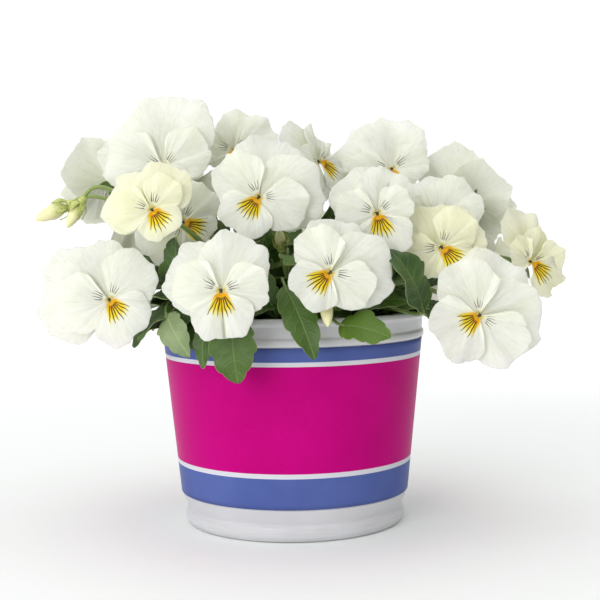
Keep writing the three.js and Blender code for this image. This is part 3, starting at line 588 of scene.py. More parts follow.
def stalk_material():
    """where: round the stalk, and along it in mm. look: seed and paleness."""
    n = surface("stalk_green")
    around, along, _ = n.vectors("where")
    seed, pale, _ = n.vectors("look")
    patch = n.noise(120, 3)
    ribs = n.noise(2, vector=n.join(around * 3, along * 0.06, seed))
    colour = n.mix(n.step(patch, 0.35, 0.7), srgb(82, 110, 50), srgb(112, 138, 66))
    colour = n.mix(n.step(ribs, 0.5, 0.75, 0, 0.4), colour, srgb(66, 88, 44))
    colour = n.mix(pale * 0.6, colour, srgb(166, 184, 110))
    n.bump(ribs, 0.4, 0.0004)
    return n.finish(colour, 0.45, (0.1, (0.6, 1, 0.3), 0.001))


def plain_flower_material(name, low, high, scale):
    """A small soft part of a flower, mottled between two colours."""
    n = surface(name)
    spots = n.noise(scale)
    n.bump(spots, 0.4, 0.0003)
    return n.finish(n.mix(n.step(spots, 0.35, 0.65), low, high), 0.5, (0.2, (0.8, 0.8, 0.5), 0.001))


def bud_material():
    """where: angle round the bud, and the share of its height."""
    n = surface("bud_cream")
    around, height, _ = n.vectors("where")
    veins = n.noise(2, vector=n.join(around * 4, height * 0.8, 3))
    colour = n.mix(n.step(height, 0, 0.6), srgb(206, 212, 136), srgb(240, 236, 184))
    colour = n.mix(n.step(veins, 0.5, 0.7, 0, 0.35), colour, srgb(196, 204, 130))
    n.bump(veins, 0.4, 0.0004)
    return n.finish(colour, 0.5, (0.3, (1, 1, 0.6), 0.001))


def pot_material():
    n = surface("pot_plastic")
    x, y, height = n.xyz(n.place())
    cloud = n.noise(22, 4)
    grain = n.noise(700, 3)
    scuff = n.noise(60, 3, vector=n.join(x, y, height * 12))
    colour = n.mix(n.step(cloud, 0.35, 0.7), srgb(204, 204, 208), srgb(214, 214, 217))
    dusty = n.step(height, 0.016, 0) * n.step(scuff, 0.45, 0.7)
    colour = n.mix(dusty * 0.35, colour, srgb(188, 184, 176))
    n.bump(grain + cloud * 2, 0.08, 0.0003)
    return n.finish(colour, 0.26 + scuff * 0.18, (0.12, (1, 1, 1), 0.002))


def label_material():
    n = surface("label_print")
    waver = (n.noise(60) - 0.5) * 0.12
    height = n.xyz(n.place())[2] * (1 / MM) + waver

    def band(low, high):
        return n.math("GREATER_THAN", height, low) * n.math("LESS_THAN", height, high)

    ink = n.noise(1500)
    cloud = n.noise(30, 3)
    cloudy = n.step(cloud, 0.3, 0.75)
    pink = n.mix(cloudy, srgb(187, 3, 117), srgb(195, 5, 125))
    blue = n.mix(cloudy, srgb(79, 95, 158), srgb(88, 104, 167))
    colour = n.mix(band(LOWER_LINE[1], UPPER_LINE[0]), blue, pink)
    lines = band(*LOWER_LINE) + band(*UPPER_LINE)
    colour = n.mix(lines, colour, srgb(214, 214, 222))
    colour = n.mix(n.step(ink, 0.6, 0.8, 0, 0.02), colour, srgb(255, 255, 255))
    n.bump(ink + cloud * 4, 0.06, 0.0003)
    return n.finish(colour, 0.3 + cloud * 0.1, gloss=0.03)


def soil_material():
    n = surface("potting_soil")
    fine = n.noise(1400, 4, 0.7)
    patch = n.noise(90, 3)
    colour = n.mix(n.step(fine, 0.35, 0.7), srgb(34, 25, 19), srgb(78, 58, 42))
    colour = n.mix(n.step(patch, 0.5, 0.75, 0, 0.5), colour, srgb(96, 72, 50))
    crumbs = n.add("ShaderNodeTexVoronoi", {"Vector": n.place(), "Scale": 420}, "Distance")
    n.bump(crumbs + fine, 0.9, 0.0015)
    return n.finish(colour, 0.95, gloss=0.2)


def perlite_material():
    n = surface("perlite_grain")
    pits = n.noise(900, 3)
    n.bump(pits, 0.6, 0.0006)
    return n.finish(n.mix(pits, srgb(196, 190, 180), srgb(240, 238, 232)), 0.85)


petal_white = petal_material("petal_white", srgb(247, 249, 228), srgb(219, 224, 192))
petal_cream = petal_material("petal_cream", srgb(249, 248, 205), srgb(231, 229, 174))
pad_yellow = plain_flower_material("beard_yellow", srgb(240, 196, 60), srgb(250, 226, 130), 2500)
# Painted shade: the dark of the hole in the throat
throat_painted_shade = plain_flower_material("throat_painted_shade", srgb(22, 26, 10), srgb(52, 56, 20), 2500)
stigma_green = plain_flower_material("stigma_green", srgb(50, 56, 18), srgb(84, 86, 30), 1800)
sepal_pale = plain_flower_material("sepal_pale", srgb(168, 182, 92), srgb(206, 210, 134), 700)
leaf_green = leaf_material()
stalk_green = stalk_material()
bud_cream = bud_material()
# Places of the materials in a bloom's list and in a stem's list
PETAL_SLOT, PAD_SLOT, STIGMA_SLOT, DARK_SLOT = 0, 1, 2, 3
LEAF_SLOT, STALK_SLOT, SEPAL_SLOT = 0, 1, 2


# Blooms

def facing(flower):
    yaw, pitch = math.radians(flower["yaw"]), math.radians(flower["pitch"])
    return vec(math.sin(yaw) * math.cos(pitch), -math.cos(yaw) * math.cos(pitch), math.sin(pitch))


def flower_frame(flower):
    """Columns: to the viewer's right, away from the lip, and towards the viewer."""
    front = facing(flower)
    above = unit(UP - front * front[2])
    roll = math.radians(flower["roll"])
    away = above * math.cos(roll) + np.cross(front, above) * math.sin(roll)
    return np.stack([np.cross(away, front), away, front], 1)


def in_place(flower, shape):
    points, faces = shape
    return points @ flower_frame(flower).T + vec(*flower["at"]), faces


def axes_at(angle):
    """Outwards at an angle from the axis away from the lip, and the side direction there."""
    return vec(math.sin(angle), math.cos(angle), 0), vec(math.cos(angle), -math.sin(angle), 0)


def petals_of(bloom):
    for i, common in enumerate(PETALS):
        petal = dict(common)
        if bloom["reaches"]:
            petal["reach"] = bloom["reaches"][i]
            petal["angle"] = (*bloom["angles"], LIP_ANGLE)[i]
        else:
            petal["reach"] *= bloom["size"]
        petal["crease"] = bloom.get("crease", 0) if petal["kind"] == LIP else 0
        yield petal


def ripple(v, seed, waves, steep):
    """A seeded sum of sines across a petal."""
    total = np.zeros_like(v)
    for k, wave in enumerate(waves):
        phase = 2 * np.pi * draw(seed * 13 + k + 3)
        total += np.sin(wave * np.pi * v + phase) / (1 + steep * k)
    return total


def petal_grid(petal, seed, rows, columns):
    """The petal's middle surface in the flower's frame, with u out from the throat and v across."""
    root = 1.2 / petal["reach"]
    u = (root + (1 - root) * (1 - (1 - np.linspace(0, 1, rows)) ** 1.3))[:, None]
    v = 0.996 * np.sin(np.pi / 2 * np.linspace(-1, 1, columns))[None, :]
    phi = v * math.radians(petal["spread"]) * (0.84 + 0.24 * np.sqrt(u))
    wave = np.cos(WAVES * np.pi * (v + 1))
    strength = (1 - 0.4 * v * v) * (0.8 + 0.4 * np.sin(3 * v + 6 * draw(seed)))
    notch = petal["notch"] * np.exp(-((v / 0.2) ** 2))
    corner = np.cos(np.pi / 2 * v) ** 0.1
    edge = petal["reach"] * (np.cos(phi) ** petal["round"] * corner - notch)
    crinkle = 0.013 * ripple(v, seed, (6, 9, 14, 20), 0.35)
    out = u * edge * (1 + SCALLOP * u * wave + crinkle * u ** 3)
    sway = petal["sway"] * np.sin(2 * v + 6 * draw(seed + 7)) * u * u
    frill = 0.5 * ripple(v, seed + 5, (6, 9, 14), 0.5) * u ** 5
    pleat = 0.3 * ripple(v, seed + 9, (3, 6, 10, 15), 0.4) * np.sin(np.pi * u)
    crease = petal["crease"] * np.exp(-((v / 0.07) ** 2)) * np.minimum(1.0, 2.2 * u) ** 2
    lift = petal["depth"] - FUNNEL * (1 - u) ** 2 + RUFFLE * strength * wave * u ** 2.5
    lift = lift + sway - petal["curl"] * u ** 4 + frill + pleat - crease
    across, along = out * np.sin(phi), out * np.cos(phi)
    axis, side = axes_at(math.radians(petal["angle"]))
    lean = math.radians(petal["lean"])
    outward = axis * math.cos(lean) + UP * math.sin(lean)
    normal = UP * math.cos(lean) - axis * math.sin(lean)
    grid = along[..., None] * outward + across[..., None] * side + lift[..., None] * normal
    share = np.broadcast_to(u, across.shape)
    return grid, np.stack([across, along, share], 2)


def make_bloom(bloom, order):
    """Five petals, a spur behind them, pads beside the throat, and the dark ball of painted shade
    and the stigma in it.
    """
    piece = Piece()
    for i, petal in enumerate(petals_of(bloom)):
        seed = order * len(PETALS) + i
        grid, where = petal_grid(petal, seed, PETAL_ROWS, PETAL_COLUMNS)
        # A creased lip carries the mark for its painted fold shade
        look = (petal["kind"] + (FOLD_SHADE_MARK if petal["crease"] else 0), draw(seed + 3), 0)
        blade = shell(grid, PETAL_THICK * (1 - 0.5 * where[..., 2] ** 4))
        piece.add(in_place(bloom, blade), *two_sided(where, look, 2), PETAL_SLOT)
    spur = tube(np.array(SPUR_PATH), np.array(SPUR_RADII), SPUR_SIDES)
    piece.add(in_place(bloom, spur), (0, 3, 0.1), (UPPER, 0.5, 1), PETAL_SLOT)
    for hand in (-1, 1):
        lean = unit(vec(hand * 0.5, -1, 0.2))
        axes = [unit(np.cross(lean, UP)) * PAD_AXES[0], lean * PAD_AXES[1], UP * PAD_AXES[2]]
        piece.add(in_place(bloom, ball(PAD_AT * vec(hand, 1, 1), axes)), slot=PAD_SLOT)
    # The dark ball of painted shade in the opening of the throat
    piece.add(in_place(bloom, ball(DARK_AT, np.diag(DARK_AXES))), slot=DARK_SLOT)
    piece.add(in_place(bloom, ball(STIGMA_AT, np.diag(STIGMA_AXES))), slot=STIGMA_SLOT)
    petals = petal_cream if "cream" in bloom else petal_white
    made = piece.build(bloom["name"] + "_petals", [petals, pad_yellow, stigma_green, throat_painted_shade])
    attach(made, "root")
    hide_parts(bloom["name"])
    "petal_cream" if "cream" in bloom else "petal_white"


def make_bud(bud):
    """Petals rolled round each other: rings whose radius follows a spiral seam."""
    h, turn = np.meshgrid(np.linspace(0.02, 0.985, BUD_ROWS),
                          np.linspace(0, 2 * np.pi, BUD_COLUMNS, endpoint=False), indexing="ij")
    profile = np.sin(np.pi * h ** 0.8) ** 0.62
    spiral = (turn + 3.2 * h) % (2 * np.pi) / (2 * np.pi)
    radius = bud["width"] / 2 * profile * (0.84 + 0.16 * spiral ** 0.5)
    grid = np.stack([radius * np.cos(turn), radius * np.sin(turn), BUD_LOW + bud["length"] * h], 2)
    ends = [[0, 0, BUD_LOW], [0, 0, BUD_LOW + bud["length"]]]
    points = np.concatenate([grid.reshape(-1, 3), ends])
    where = np.stack([turn, h, 0 * h], 2)
    where = np.concatenate([where.reshape(-1, 3), [[0, 0, 0], [0, 1, 0]]])
    piece = Piece()
    piece.add(in_place(bud, (points, ring_faces(BUD_ROWS, BUD_COLUMNS))), where)
    made = piece.build(bud["name"] + "_petals", [bud_cream])
    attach(made, "root")
    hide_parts(bud["name"])


# Leaves and stalks

FLOWERS = {flower["name"]: flower for flower in BLOOMS + BUDS}


def foot_of(stem):
    blooms = [name for name in STEMS[stem] if name.startswith("bloom")]
    x, y, _ = sum(vec(*FLOWERS[name]["at"]) for name in blooms) * FOOT_SHARE / len(blooms)
    return x, y


def branch_start(stem, order):
    return vec(*foot_of(stem), BRANCH_TOP - BRANCH_STEP * order)


def leaning(start, end, height):
    away = (end - start) * vec(1, 1, 0)
    return start + away * STALK_LEAN + UP * height


def rounded_leaf(share):
    """Half-width of a leaf as a share of its widest, with rounded teeth."""
    tooth = (LEAF_TEETH * share ** 0.85) % 1
    teeth = tooth ** 0.5 * (1 - tooth ** 7) ** 0.5
    return np.sin(np.pi * share ** 0.8) ** 0.6 * (0.8 + 0.24 * teeth)


def leaf_frame(leaf):
    base, tip = vec(*leaf["base"]), vec(*leaf["tip"])
    length = np.linalg.norm(tip - base)
    along = unit(tip - base)
    face = leaf.get("face")
    if face is None:
        face = unit((base + tip) * vec(1, 1, 0)) + vec(0, 0, LEAF_UPTURN)
    face = unit(face - along * face.dot(along))
    return base, along, face, np.cross(along, face), length


def midrib(leaf, share):
    base, along, face, _, length = leaf_frame(leaf)
    share = np.asarray(share, float)[..., None]
    return base + along * share * length + face * (LEAF_ARCH * length * 4 * share * (1 - share))


def leaf_grid(leaf, rows, columns):
    """The middle of a blade: folded along its midrib, quilted by its veins, with a wavy edge."""
    _, _, face, side, _ = leaf_frame(leaf)
    share = np.linspace(0.004, 0.996, rows)
    inset = 0.92
    spaced = np.sin(np.pi / 2 * np.linspace(-1, 1, columns) * inset) / math.sin(np.pi / 2 * inset)
    s, v = np.meshgrid(share, spaced, indexing="ij")
    across = (leaf["width"] / 2 * rounded_leaf(share))[:, None] * v
    beside = np.abs(v)
    ribbed = np.sin(2 * np.pi * (LEAF_VEINS * (s - VEIN_SWEEP * beside ** VEIN_BEND)))
    quilt = 0.18 * ribbed * np.sin(np.pi * beside) * np.sin(np.pi * s)
    edge = 0.07 * leaf["width"] * np.sin(11 * s + 6 * draw(leaf["seed"])) * beside ** 2.5
    lift = LEAF_FOLD * np.abs(across) + quilt + edge
    grid = midrib(leaf, s) + side * across[..., None] + face * lift[..., None]
    return grid, np.stack([v, s, across], 2)


def petiole_path(leaf):
    start = branch_start(leaf["stem"], leaf["order"])
    base, along, _, _, _ = leaf_frame(leaf)
    span = np.linalg.norm(start - base)
    rise = leaning(start, base, max(PETIOLE_RISE[0] * span, PETIOLE_RISE[1]))
    reach = base - along * min(PETIOLE_REACH[1], PETIOLE_REACH[0] * span)
    return bezier(start, rise, reach, midrib(leaf, PETIOLE_SHARE), PETIOLE_POINTS)


def add_stalk(piece, path, seed, ends, sides, pale):
    """A stalk along a path. ends: its radii at the start and the end."""
    count = len(path)
    run = np.concatenate([[0], np.cumsum(np.linalg.norm(np.diff(path, axis=0), axis=1))])
    around = np.arange(sides) * 2 * np.pi / sides
    where = np.stack([np.tile(around, count), np.repeat(run, sides), np.zeros(count * sides)], 1)
    where = np.concatenate([where, [[0, 0, 0], [0, run[-1], 0]]])
    piece.add(tube(path, np.linspace(*ends, count), sides), where, (seed, pale, 0), STALK_SLOT)


def add_leaf(piece, leaf):
    """The blade, its petiole, and the midrib that stands out under it and thins towards the tip."""
    grid, where = leaf_grid(leaf, leaf["rows"], LEAF_COLUMNS)
    chance = draw(leaf["seed"])
    tone = leaf.get("tone", 0.6 * chance)
    blade = shell(grid, LEAF_THICK * (1 - 0.4 * np.abs(where[..., 0]) ** 2))
    piece.add(blade, *two_sided(where, (leaf["seed"], 1 if tone < 0 else 0, tone), 1), LEAF_SLOT)
    add_stalk(piece, petiole_path(leaf), chance, *PETIOLE)
    share = np.linspace(*RIB_SHARES, RIB_POINTS)
    rib = midrib(leaf, share) - leaf_frame(leaf)[2] * RIB_DROP
    add_stalk(piece, rib, chance, *RIB)


def add_sepals(piece, flower, order):
    """Five pointed sepals behind a bloom, or hugging a bud, and the cup that joins them."""
    bud = "length" in flower
    forward, width = BUD_SEPAL if bud else BLOOM_SEPAL
    s, v = np.meshgrid(np.linspace(0, 1, 9), np.linspace(-1, 1, 5), indexing="ij")
    if bud:
        out = SEPAL_ROOT + (flower["width"] / 2 + 0.3) * np.sin(np.pi / 2 * np.minimum(1.6 * s, 1))
    else:
        out = SEPAL_ROOT + (SEPAL_REACH - SEPAL_ROOT) * s
    lift = -CALYX_FRONT - 0.4 + forward * s ** 1.3 - 0.3 * np.abs(v)
    wide = width / 2 * np.sin(np.pi * (0.12 + 0.88 * s) ** 0.8) ** 0.8 * v
    where = np.concatenate([np.stack([v, 0.1 + 0.8 * s, wide], 2).reshape(-1, 3)] * 2)
    for i in range(5):
        axis, side = axes_at((2 * i + 1) * np.pi / 5 + 0.25 * (draw(order * 7 + i) - 0.5))
        grid = out[..., None] * axis + wide[..., None] * side + lift[..., None] * UP
        sepal = in_place(flower, shell(grid, SEPAL_THICK))
        piece.add(sepal, where, (order + i * 0.1, 0.35, 0.5), SEPAL_SLOT if bud else LEAF_SLOT)
    cup = [(0, 0.2), (2.4, 0.2), (2.7, 1.2), (2.1, 3.0), (1.4, CALYX_LENGTH), (0, CALYX_LENGTH)]
    points, faces = lathe([(radius, -CALYX_FRONT - back) for radius, back in cup], 12)
    shape = in_place(flower, (points, flipped(faces)))
    piece.add(shape, look=(order, 0.4, 0), slot=SEPAL_SLOT if bud else STALK_SLOT)


def stalk_path(start, flower):
    front = facing(flower)
    end = vec(*flower["at"]) - front * (CALYX_FRONT + CALYX_LENGTH - 1)
    span = np.linalg.norm(start - end)
    rise = leaning(start, end, max(STALK_RISE[0] * span, STALK_RISE[1]))
    hook = end - front * flower.get("hook", STALK_HOOK * span) + UP * HOOK_RISE
    return bezier(start, rise, hook, end, STALK_POINTS)


def nearest_stem(point):
    def distance(stem):
        x, y = foot_of(stem)
        return math.hypot(x - STEM_REACH * point[0], y - STEM_REACH * point[1])
    return min(STEMS, key=distance)


def ring_leaves(ring):
    for i in range(ring["count"]):
        turned = (ring["end"] - ring["start"]) * i / (ring["count"] - 1)
        angle = math.radians(ring["start"] + turned)
        drop = ring["droop"] * (draw(DROOP_SEED + i) - 0.5) * 2
        swing = angle + RING_SWING * (draw(SWING_SEED + i) - 0.5)
        base = at_angle(ring["base"][0], angle, ring["base"][1])
        tip = at_angle(ring["tip"][0], swing, ring["tip"][1] + drop)
        yield nearest_stem(base), base, tip, ring["width"]


def settled(leaf, corners):
    """Where the solid leaf stands: the first turn and rise whose tip is in the stem's mesh."""
    for rise in LEAF_RISES:
        for turn in LEAF_TURNS:
            cos, sin = math.cos(math.radians(turn)), math.sin(math.radians(turn))
            moved = dict(leaf)
            for key in ("base", "tip"):
                x, y, z = leaf[key]
                moved[key] = (x * cos - y * sin, x * sin + y * cos, z + rise)
            if np.min(np.linalg.norm(corners - vec(*moved["tip"]), axis=1)) < LEAF_NEAR:
                return moved
    raise ValueError("no solid leaf at " + str(leaf["tip"]))


def stem_corners(stem):
    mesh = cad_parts[stem].data
    corners = np.zeros(len(mesh.vertices) * 3, np.float32)
    mesh.vertices.foreach_get("co", corners)
    return corners.reshape(-1, 3) / MM


# Rows and columns of the coarse petals and leaves that show which inner leaves would cross them
COARSE_PETAL, COARSE_LEAF = (6, 11), (8, 7)


def tree_of(points, rows, columns):
    polygons = [tuple(face) for face in grid_faces(rows, columns)]
    return BVHTree.FromPolygons([tuple(point) for point in points], polygons)


def bloom_trees():
    for order, bloom in enumerate(BLOOMS):
        for i, petal in enumerate(petals_of(bloom)):
            grid, _ = petal_grid(petal, order * len(PETALS) + i, *COARSE_PETAL)
            points, _ = in_place(bloom, (grid.reshape(-1, 3), None))
            yield tree_of(points, *COARSE_PETAL)


def leaf_tree(leaf):
    grid, _ = leaf_grid(leaf, *COARSE_LEAF)
    return tree_of(grid.reshape(-1, 3), *COARSE_LEAF)


# Inner leaves fill the mound between the leaves that the solids carry. Their bases lie in the
# mound, which falls away from its top, and their tips in a cylinder.
INNER_LEAVES, INNER_TRIES, INNER_CHANCE = 110, 14, 11
MOUND_RADIUS, MOUND_LOW, MOUND_TOP, MOUND_FALL = 78, 116, 172, 0.28
TIP_RADIUS, TIP_TOP = 98, 190
INNER_SWING, INNER_DIP, INNER_LENGTH, INNER_WIDTH = 0.8, (-0.35, 0.75), (24, 36), (0.6, 0.8)


def inner_leaves(trees, orders):
    """Leaves at random places where, as coarse grids, they cross no petal and no other leaf."""
    rng = random.Random(INNER_CHANCE)
    for number in range(INNER_LEAVES):
        for _ in range(INNER_TRIES):
            angle = rng.uniform(0, 2 * math.pi)
            radius = MOUND_RADIUS * math.sqrt(rng.uniform(0.02, 1))
            height = rng.uniform(MOUND_LOW, MOUND_TOP - MOUND_FALL * radius)
            base = at_angle(radius, angle, height)
            heading = angle + rng.uniform(-INNER_SWING, INNER_SWING)
            dip = rng.uniform(*INNER_DIP)
            length = rng.uniform(*INNER_LENGTH)
            tip = base + at_angle(math.cos(dip), heading, math.sin(dip)) * length
            if math.hypot(tip[0], tip[1]) > TIP_RADIUS or tip[2] > TIP_TOP:
                continue
            row = (nearest_stem(base), base, tip, length * rng.uniform(*INNER_WIDTH))
            leaf = dict(leaf_of(row, INNER_LEAF, number, orders), face=at_angle(0.5, angle, 1.0))
            tree = leaf_tree(leaf)
            if not any(tree.overlap(other) for other in trees):
                trees.append(tree)
                yield leaf
                break


def leaf_of(row, sort, number, orders):
    rows, first_seed = sort
    return dict(zip(LEAF_KEYS, row), rows=rows, seed=first_seed + number, order=orders[row[0]])


def make_stems():
    """One piece for each stem, with its stalks, sepals and leaves."""
    table = FRONT_LEAVES + [leaf for ring in LEAF_RINGS for leaf in ring_leaves(ring)]
    orders = {stem: len(flowers) for stem, flowers in STEMS.items()}
    corners = {stem: stem_corners(stem) for stem in STEMS}
    placed = []
    for number, row in enumerate(table):
        placed.append(settled(leaf_of(row, SOLID_LEAF, number, orders), corners[row[0]]))
        orders[row[0]] += 1
    orders = {stem: min(order, LOWEST_BRANCH) for stem, order in orders.items()}
    placed += [leaf_of(row, FILL_LEAF, number, orders) for number, row in enumerate(FILL_LEAVES)]
    trees = [*bloom_trees(), *(leaf_tree(leaf) for leaf in placed)]
    placed += list(inner_leaves(trees, orders))
    for count, (stem, flowers) in enumerate(STEMS.items()):
        piece = Piece()
        x, y = foot_of(stem)
        heights = np.linspace(HOLE_BOTTOM + GAP, STEM_TOP, STEM_POINTS)
        add_stalk(piece, np.array([[x, y, z] for z in heights]), count, *STEM)
        for order, name in enumerate(flowers):
            flower = FLOWERS[name]
            path = stalk_path(branch_start(stem, order), flower)
            add_stalk(piece, path, order, *(BUD_STALK if "length" in flower else BLOOM_STALK))
            add_sepals(piece, flower, count * 10 + order)
        for leaf in placed:
            if leaf["stem"] == stem:
                add_leaf(piece, leaf)
        made = piece.build(stem + "_greens", [leaf_green, stalk_green, sepal_pale])
        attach(made, "root")
        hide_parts(stem)


# Pot, label and soil

def print_radius(height):
    return PRINT_RADIUS + WALL_SLOPE * height


def wall_radius(height):
    return print_radius(height) - LABEL_THICK - GAP


def inner_radius(height):
    return wall_radius(height) - WALL


def softened(profile, radius, steps):
    """Rounds each corner of a profile with a short curve."""
    points = [np.array(p, float) for p in profile]
    out = [points[0]]
    for before, corner, after in zip(points, points[1:], points[2:]):
        reach_in = min(radius, 0.42 * np.linalg.norm(corner - before))
        reach_out = min(radius, 0.42 * np.linalg.norm(after - corner))
        a = corner + unit(before - corner) * reach_in
        b = corner + unit(after - corner) * reach_out
        for t in np.linspace(0, 1, steps):
            out.append((1 - t) ** 2 * a + 2 * t * (1 - t) * corner + t * t * b)
    out.append(points[-1])
    return [tuple(p) for p in out]


# Radii and heights along the pot's outline, up the outside and down the inside
POT_PROFILE = [
    (0, 0), (61.8, 0), (63.9, 3), (63.4, 8), (61.9, 9.4),
    (wall_radius(LABEL_LOW - 0.6) + 0.6, LABEL_LOW - 0.6),
    (wall_radius(LABEL_LOW), LABEL_LOW), (wall_radius(LABEL_HIGH), LABEL_HIGH),
    (76, LABEL_HIGH + 1), (76, LABEL_HIGH + 4), (75, LABEL_HIGH + 5),
    (75.4, POT_HEIGHT - 4), (77.3, POT_HEIGHT - 3), (76.9, POT_HEIGHT), (74.4, POT_HEIGHT),
    (inner_radius(LABEL_HIGH) + 0.5, LABEL_HIGH + 5), (inner_radius(LABEL_LOW), LABEL_LOW),
    (FLOOR_RADIUS, FLOOR), (0, FLOOR),
]


def make_pot():
    """The shell of the pot with its drain holes drilled through."""
    piece = Piece()
    piece.add(lathe(softened(POT_PROFILE, ROUNDING, ROUNDING_STEPS), AROUND))
    pot = piece.build("pot_shell", [pot_material()])
    drills = Piece()
    for i in range(DRAINS):
        path = [at_angle(DRAIN_CIRCLE, 2 * np.pi * i / DRAINS, height) for height in DRILL_HEIGHTS]
        drills.add(tube(np.array(path), DRAIN_RADIUS, DRAIN_SIDES))
    drill = drills.build("drain_drill", [])
    cut = pot.modifiers.new("drains", "BOOLEAN")
    cut.operation = "DIFFERENCE"
    cut.solver = "EXACT"
    cut.object = drill
    drilled = pot.evaluated_get(bpy.context.evaluated_depsgraph_get())
    mesh = bpy.data.meshes.new_from_object(drilled)
    pot.modifiers.clear()
    pot.data = mesh
    bpy.data.objects.remove(drill)
    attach(pot, "root")
    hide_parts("pot")


def make_label():
    """The printed sleeve, one turn with a narrow seam at the back."""
    z = np.linspace(LABEL_LOW + GAP, LABEL_HIGH, LABEL_ROWS)[:, None]
    share = np.linspace(0, 1, AROUND + 1)[None, :]
    angle = np.pi / 2 - SEAM_START - share * (2 * np.pi - SEAM)
    radius = print_radius(z) - LABEL_THICK / 2
    grid = np.stack([radius * np.cos(angle), radius * np.sin(angle), z + 0 * angle], 2)
    piece = Piece()
    piece.add(shell(grid, LABEL_THICK * 0.9))
    made = piece.build("label_sleeve", [label_material()])
    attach(made, "root")
    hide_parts("label")


def lump(x, y):
    return np.sin(x * 0.21 + 1.3) * np.cos(y * 0.17 - 0.4) + 0.5 * np.sin(x * 0.43 - y * 0.37)


def make_soil():
    """The potting mix with a lumpy top, and loose grains on it. Every fourth grain is pale."""
    rng = np.random.default_rng(SOIL_SEED)
    low = FLOOR + GAP
    profile = [(0, low), (FLOOR_RADIUS - GAP, low), (inner_radius(LABEL_LOW) - GAP, LABEL_LOW),
               (inner_radius(SOIL_TOP) - GAP, SOIL_TOP - 2)]
    profile += [(r, SOIL_TOP) for r in np.linspace(SOIL_RADIUS, 0.8, 48)] + [(0, SOIL_TOP)]
    points, faces = lathe(profile, SOIL_SIDES)
    top = points[:, 2] > SOIL_TOP - 1
    x, y = points[top, 0], points[top, 1]
    rough = (0.5 * np.sin(x * 1.3 + 2 * np.sin(y * 0.9))
             + 0.4 * np.sin(y * 1.7 + 2 * np.sin(x * 1.1)))
    points[top, 2] += SOIL_LUMP * lump(x, y) + rough + rng.uniform(-0.25, 0.25, top.sum())
    piece = Piece()
    piece.add((points, faces))
    for number in range(SOIL_GRAINS):
        radius = SOIL_RADIUS * math.sqrt(rng.uniform())
        at = at_angle(radius, rng.uniform(0, 2 * np.pi), SOIL_TOP)
        at[2] += SOIL_LUMP * lump(at[0], at[1]) + 0.4
        pale = number % 4 == 0
        sizes, flat = PALE_GRAIN if pale else DARK_GRAIN
        size = rng.uniform(*sizes)
        axes = np.linalg.qr(rng.normal(size=(3, 3)))[0] * size * flat
        points, faces = ball(at, axes.T, 5, 6)
        points = points + rng.normal(scale=0.1 * size, size=points.shape)
        if np.linalg.det(axes) < 0:
            faces = flipped(faces)
        piece.add((points, faces), slot=1 if pale else 0)
    made = piece.build("soil_top", [soil_material(), perlite_material()])
    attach(made, "root")
    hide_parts("soil")


# Studio: pale floor, soft light and the camera

BACKDROP = 1.04
# Axis of the direction, where the light begins and is full on it, and its strength: at the back,
# above, on the right, on the left and at the front
LOBES = [(1, 0.8, 0.96, BACKDROP), (2, 0.1, 0.9, 1.12), (0, 0.0, 0.9, 0.04),
         (0, 0.0, -0.9, 0.36), (1, 0.0, -0.9, 0.16)]
# How far from the plant the floor begins to glow, and where it is as white as the backdrop
FLOOR_FADE = (0.16, 1.1)
FLOOR_COLOUR = (0.92, 0.945, 0.932)
FLOOR_REACH, FLOOR_DROP = 6.0, 0.0002
KEY = dict(at=(-1.2, -2.2, 0.75), target=(0, 0, 0.12), size=(1.4, 1.4), power=27)
STRIP = dict(at=(-0.62, -0.36, 0.2), target=(0, 0, 0.07), size=(0.06, 0.5), power=0.1)
CAMERA_DISTANCE, CAMERA_HEIGHT = 0.7, 0.1657
CAMERA_PITCH, CAMERA_ROLL = math.radians(3.14), math.radians(0.81)
FOCAL_PIXELS, CENTER_PIXEL, IMAGE_PIXELS, SENSOR = 1202.7, 292.2, 600, 36


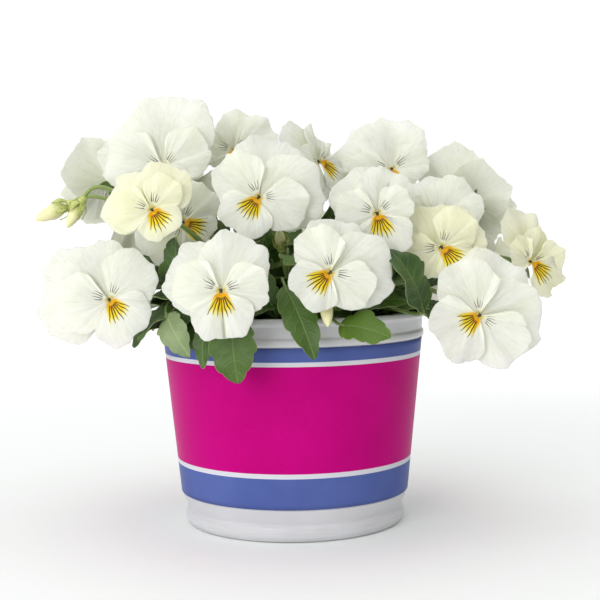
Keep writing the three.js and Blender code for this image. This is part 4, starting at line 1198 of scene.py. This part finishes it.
def make_floor():
    """A pale floor that glows far from the plant, so that it meets the backdrop without an edge."""
    n = surface("studio_floor")
    x, y, _ = n.xyz(n.place())
    far = n.step(n.length(x, y), *FLOOR_FADE)
    n.set(Emission_Color=(1.0, 1.0, 1.0), Emission_Strength=far * BACKDROP)
    colour = n.mix(far, FLOOR_COLOUR, (0.0, 0.0, 0.0))
    mesh = bpy.data.meshes.new("floor")
    signs = ((-1, -1), (1, -1), (1, 1), (-1, 1))
    corners = [(x * FLOOR_REACH, y * FLOOR_REACH, -FLOOR_DROP) for x, y in signs]
    mesh.from_pydata(corners, [], [(0, 1, 2, 3)])
    mesh.materials.append(n.finish(colour, 0.7, gloss=0.1))
    floor = linked("floor", mesh)


def make_light(name, at, target, size, power):
    data = bpy.data.lights.new(name, "AREA")
    data.shape = "RECTANGLE"
    data.size, data.size_y = size
    data.energy = power
    light = linked(name, data)
    light.location = at
    light.rotation_euler = (Vector(target) - Vector(at)).to_track_quat("-Z", "Y").to_euler()
    light.visible_camera = False


def make_world():
    """A pale studio: white behind the plant and overhead, dimmer at the left, front and right."""
    world = bpy.data.worlds.new("studio")
    n = Nodes(world, "Background")
    direction = n.xyz(n.add("ShaderNodeTexCoord", output="Generated"))
    lobes = [n.step(direction[axis], low, high, 0.0, power) for axis, low, high, power in LOBES]
    n.set(Color=(1.0, 1.0, 1.0), Strength=sum(lobes[1:], lobes[0]))
    bpy.context.scene.world = world


def make_camera():
    """The camera of the photograph, fitted to the pot."""
    data = bpy.data.cameras.new("camera")
    data.sensor_width = SENSOR
    data.lens = FOCAL_PIXELS / IMAGE_PIXELS * SENSOR
    data.shift_x = (IMAGE_PIXELS / 2 - CENTER_PIXEL) / IMAGE_PIXELS
    data.clip_end = 50
    ahead = vec(0, math.cos(CAMERA_PITCH), -math.sin(CAMERA_PITCH))
    right = vec(1, 0, 0)
    above = np.cross(right, ahead)
    cos, sin = math.cos(CAMERA_ROLL), math.sin(CAMERA_ROLL)
    columns = [right * cos - above * sin, right * sin + above * cos, -ahead,
               vec(0, -CAMERA_DISTANCE, CAMERA_HEIGHT)]
    camera = linked("camera", data)
    camera.matrix_world = Matrix([*np.stack(columns, 1).tolist(), [0, 0, 0, 1]])
    bpy.context.scene.camera = camera


make_camera()
make_world()
make_floor()
make_light("key", **KEY)
make_light("strip", **STRIP)
for number, bloom in enumerate(BLOOMS):
    make_bloom(bloom, number)
for bud in BUDS:
    make_bud(bud)
make_stems()
make_pot()
make_label()
make_soil()
bpy.context.scene.view_settings.view_transform = "Standard"
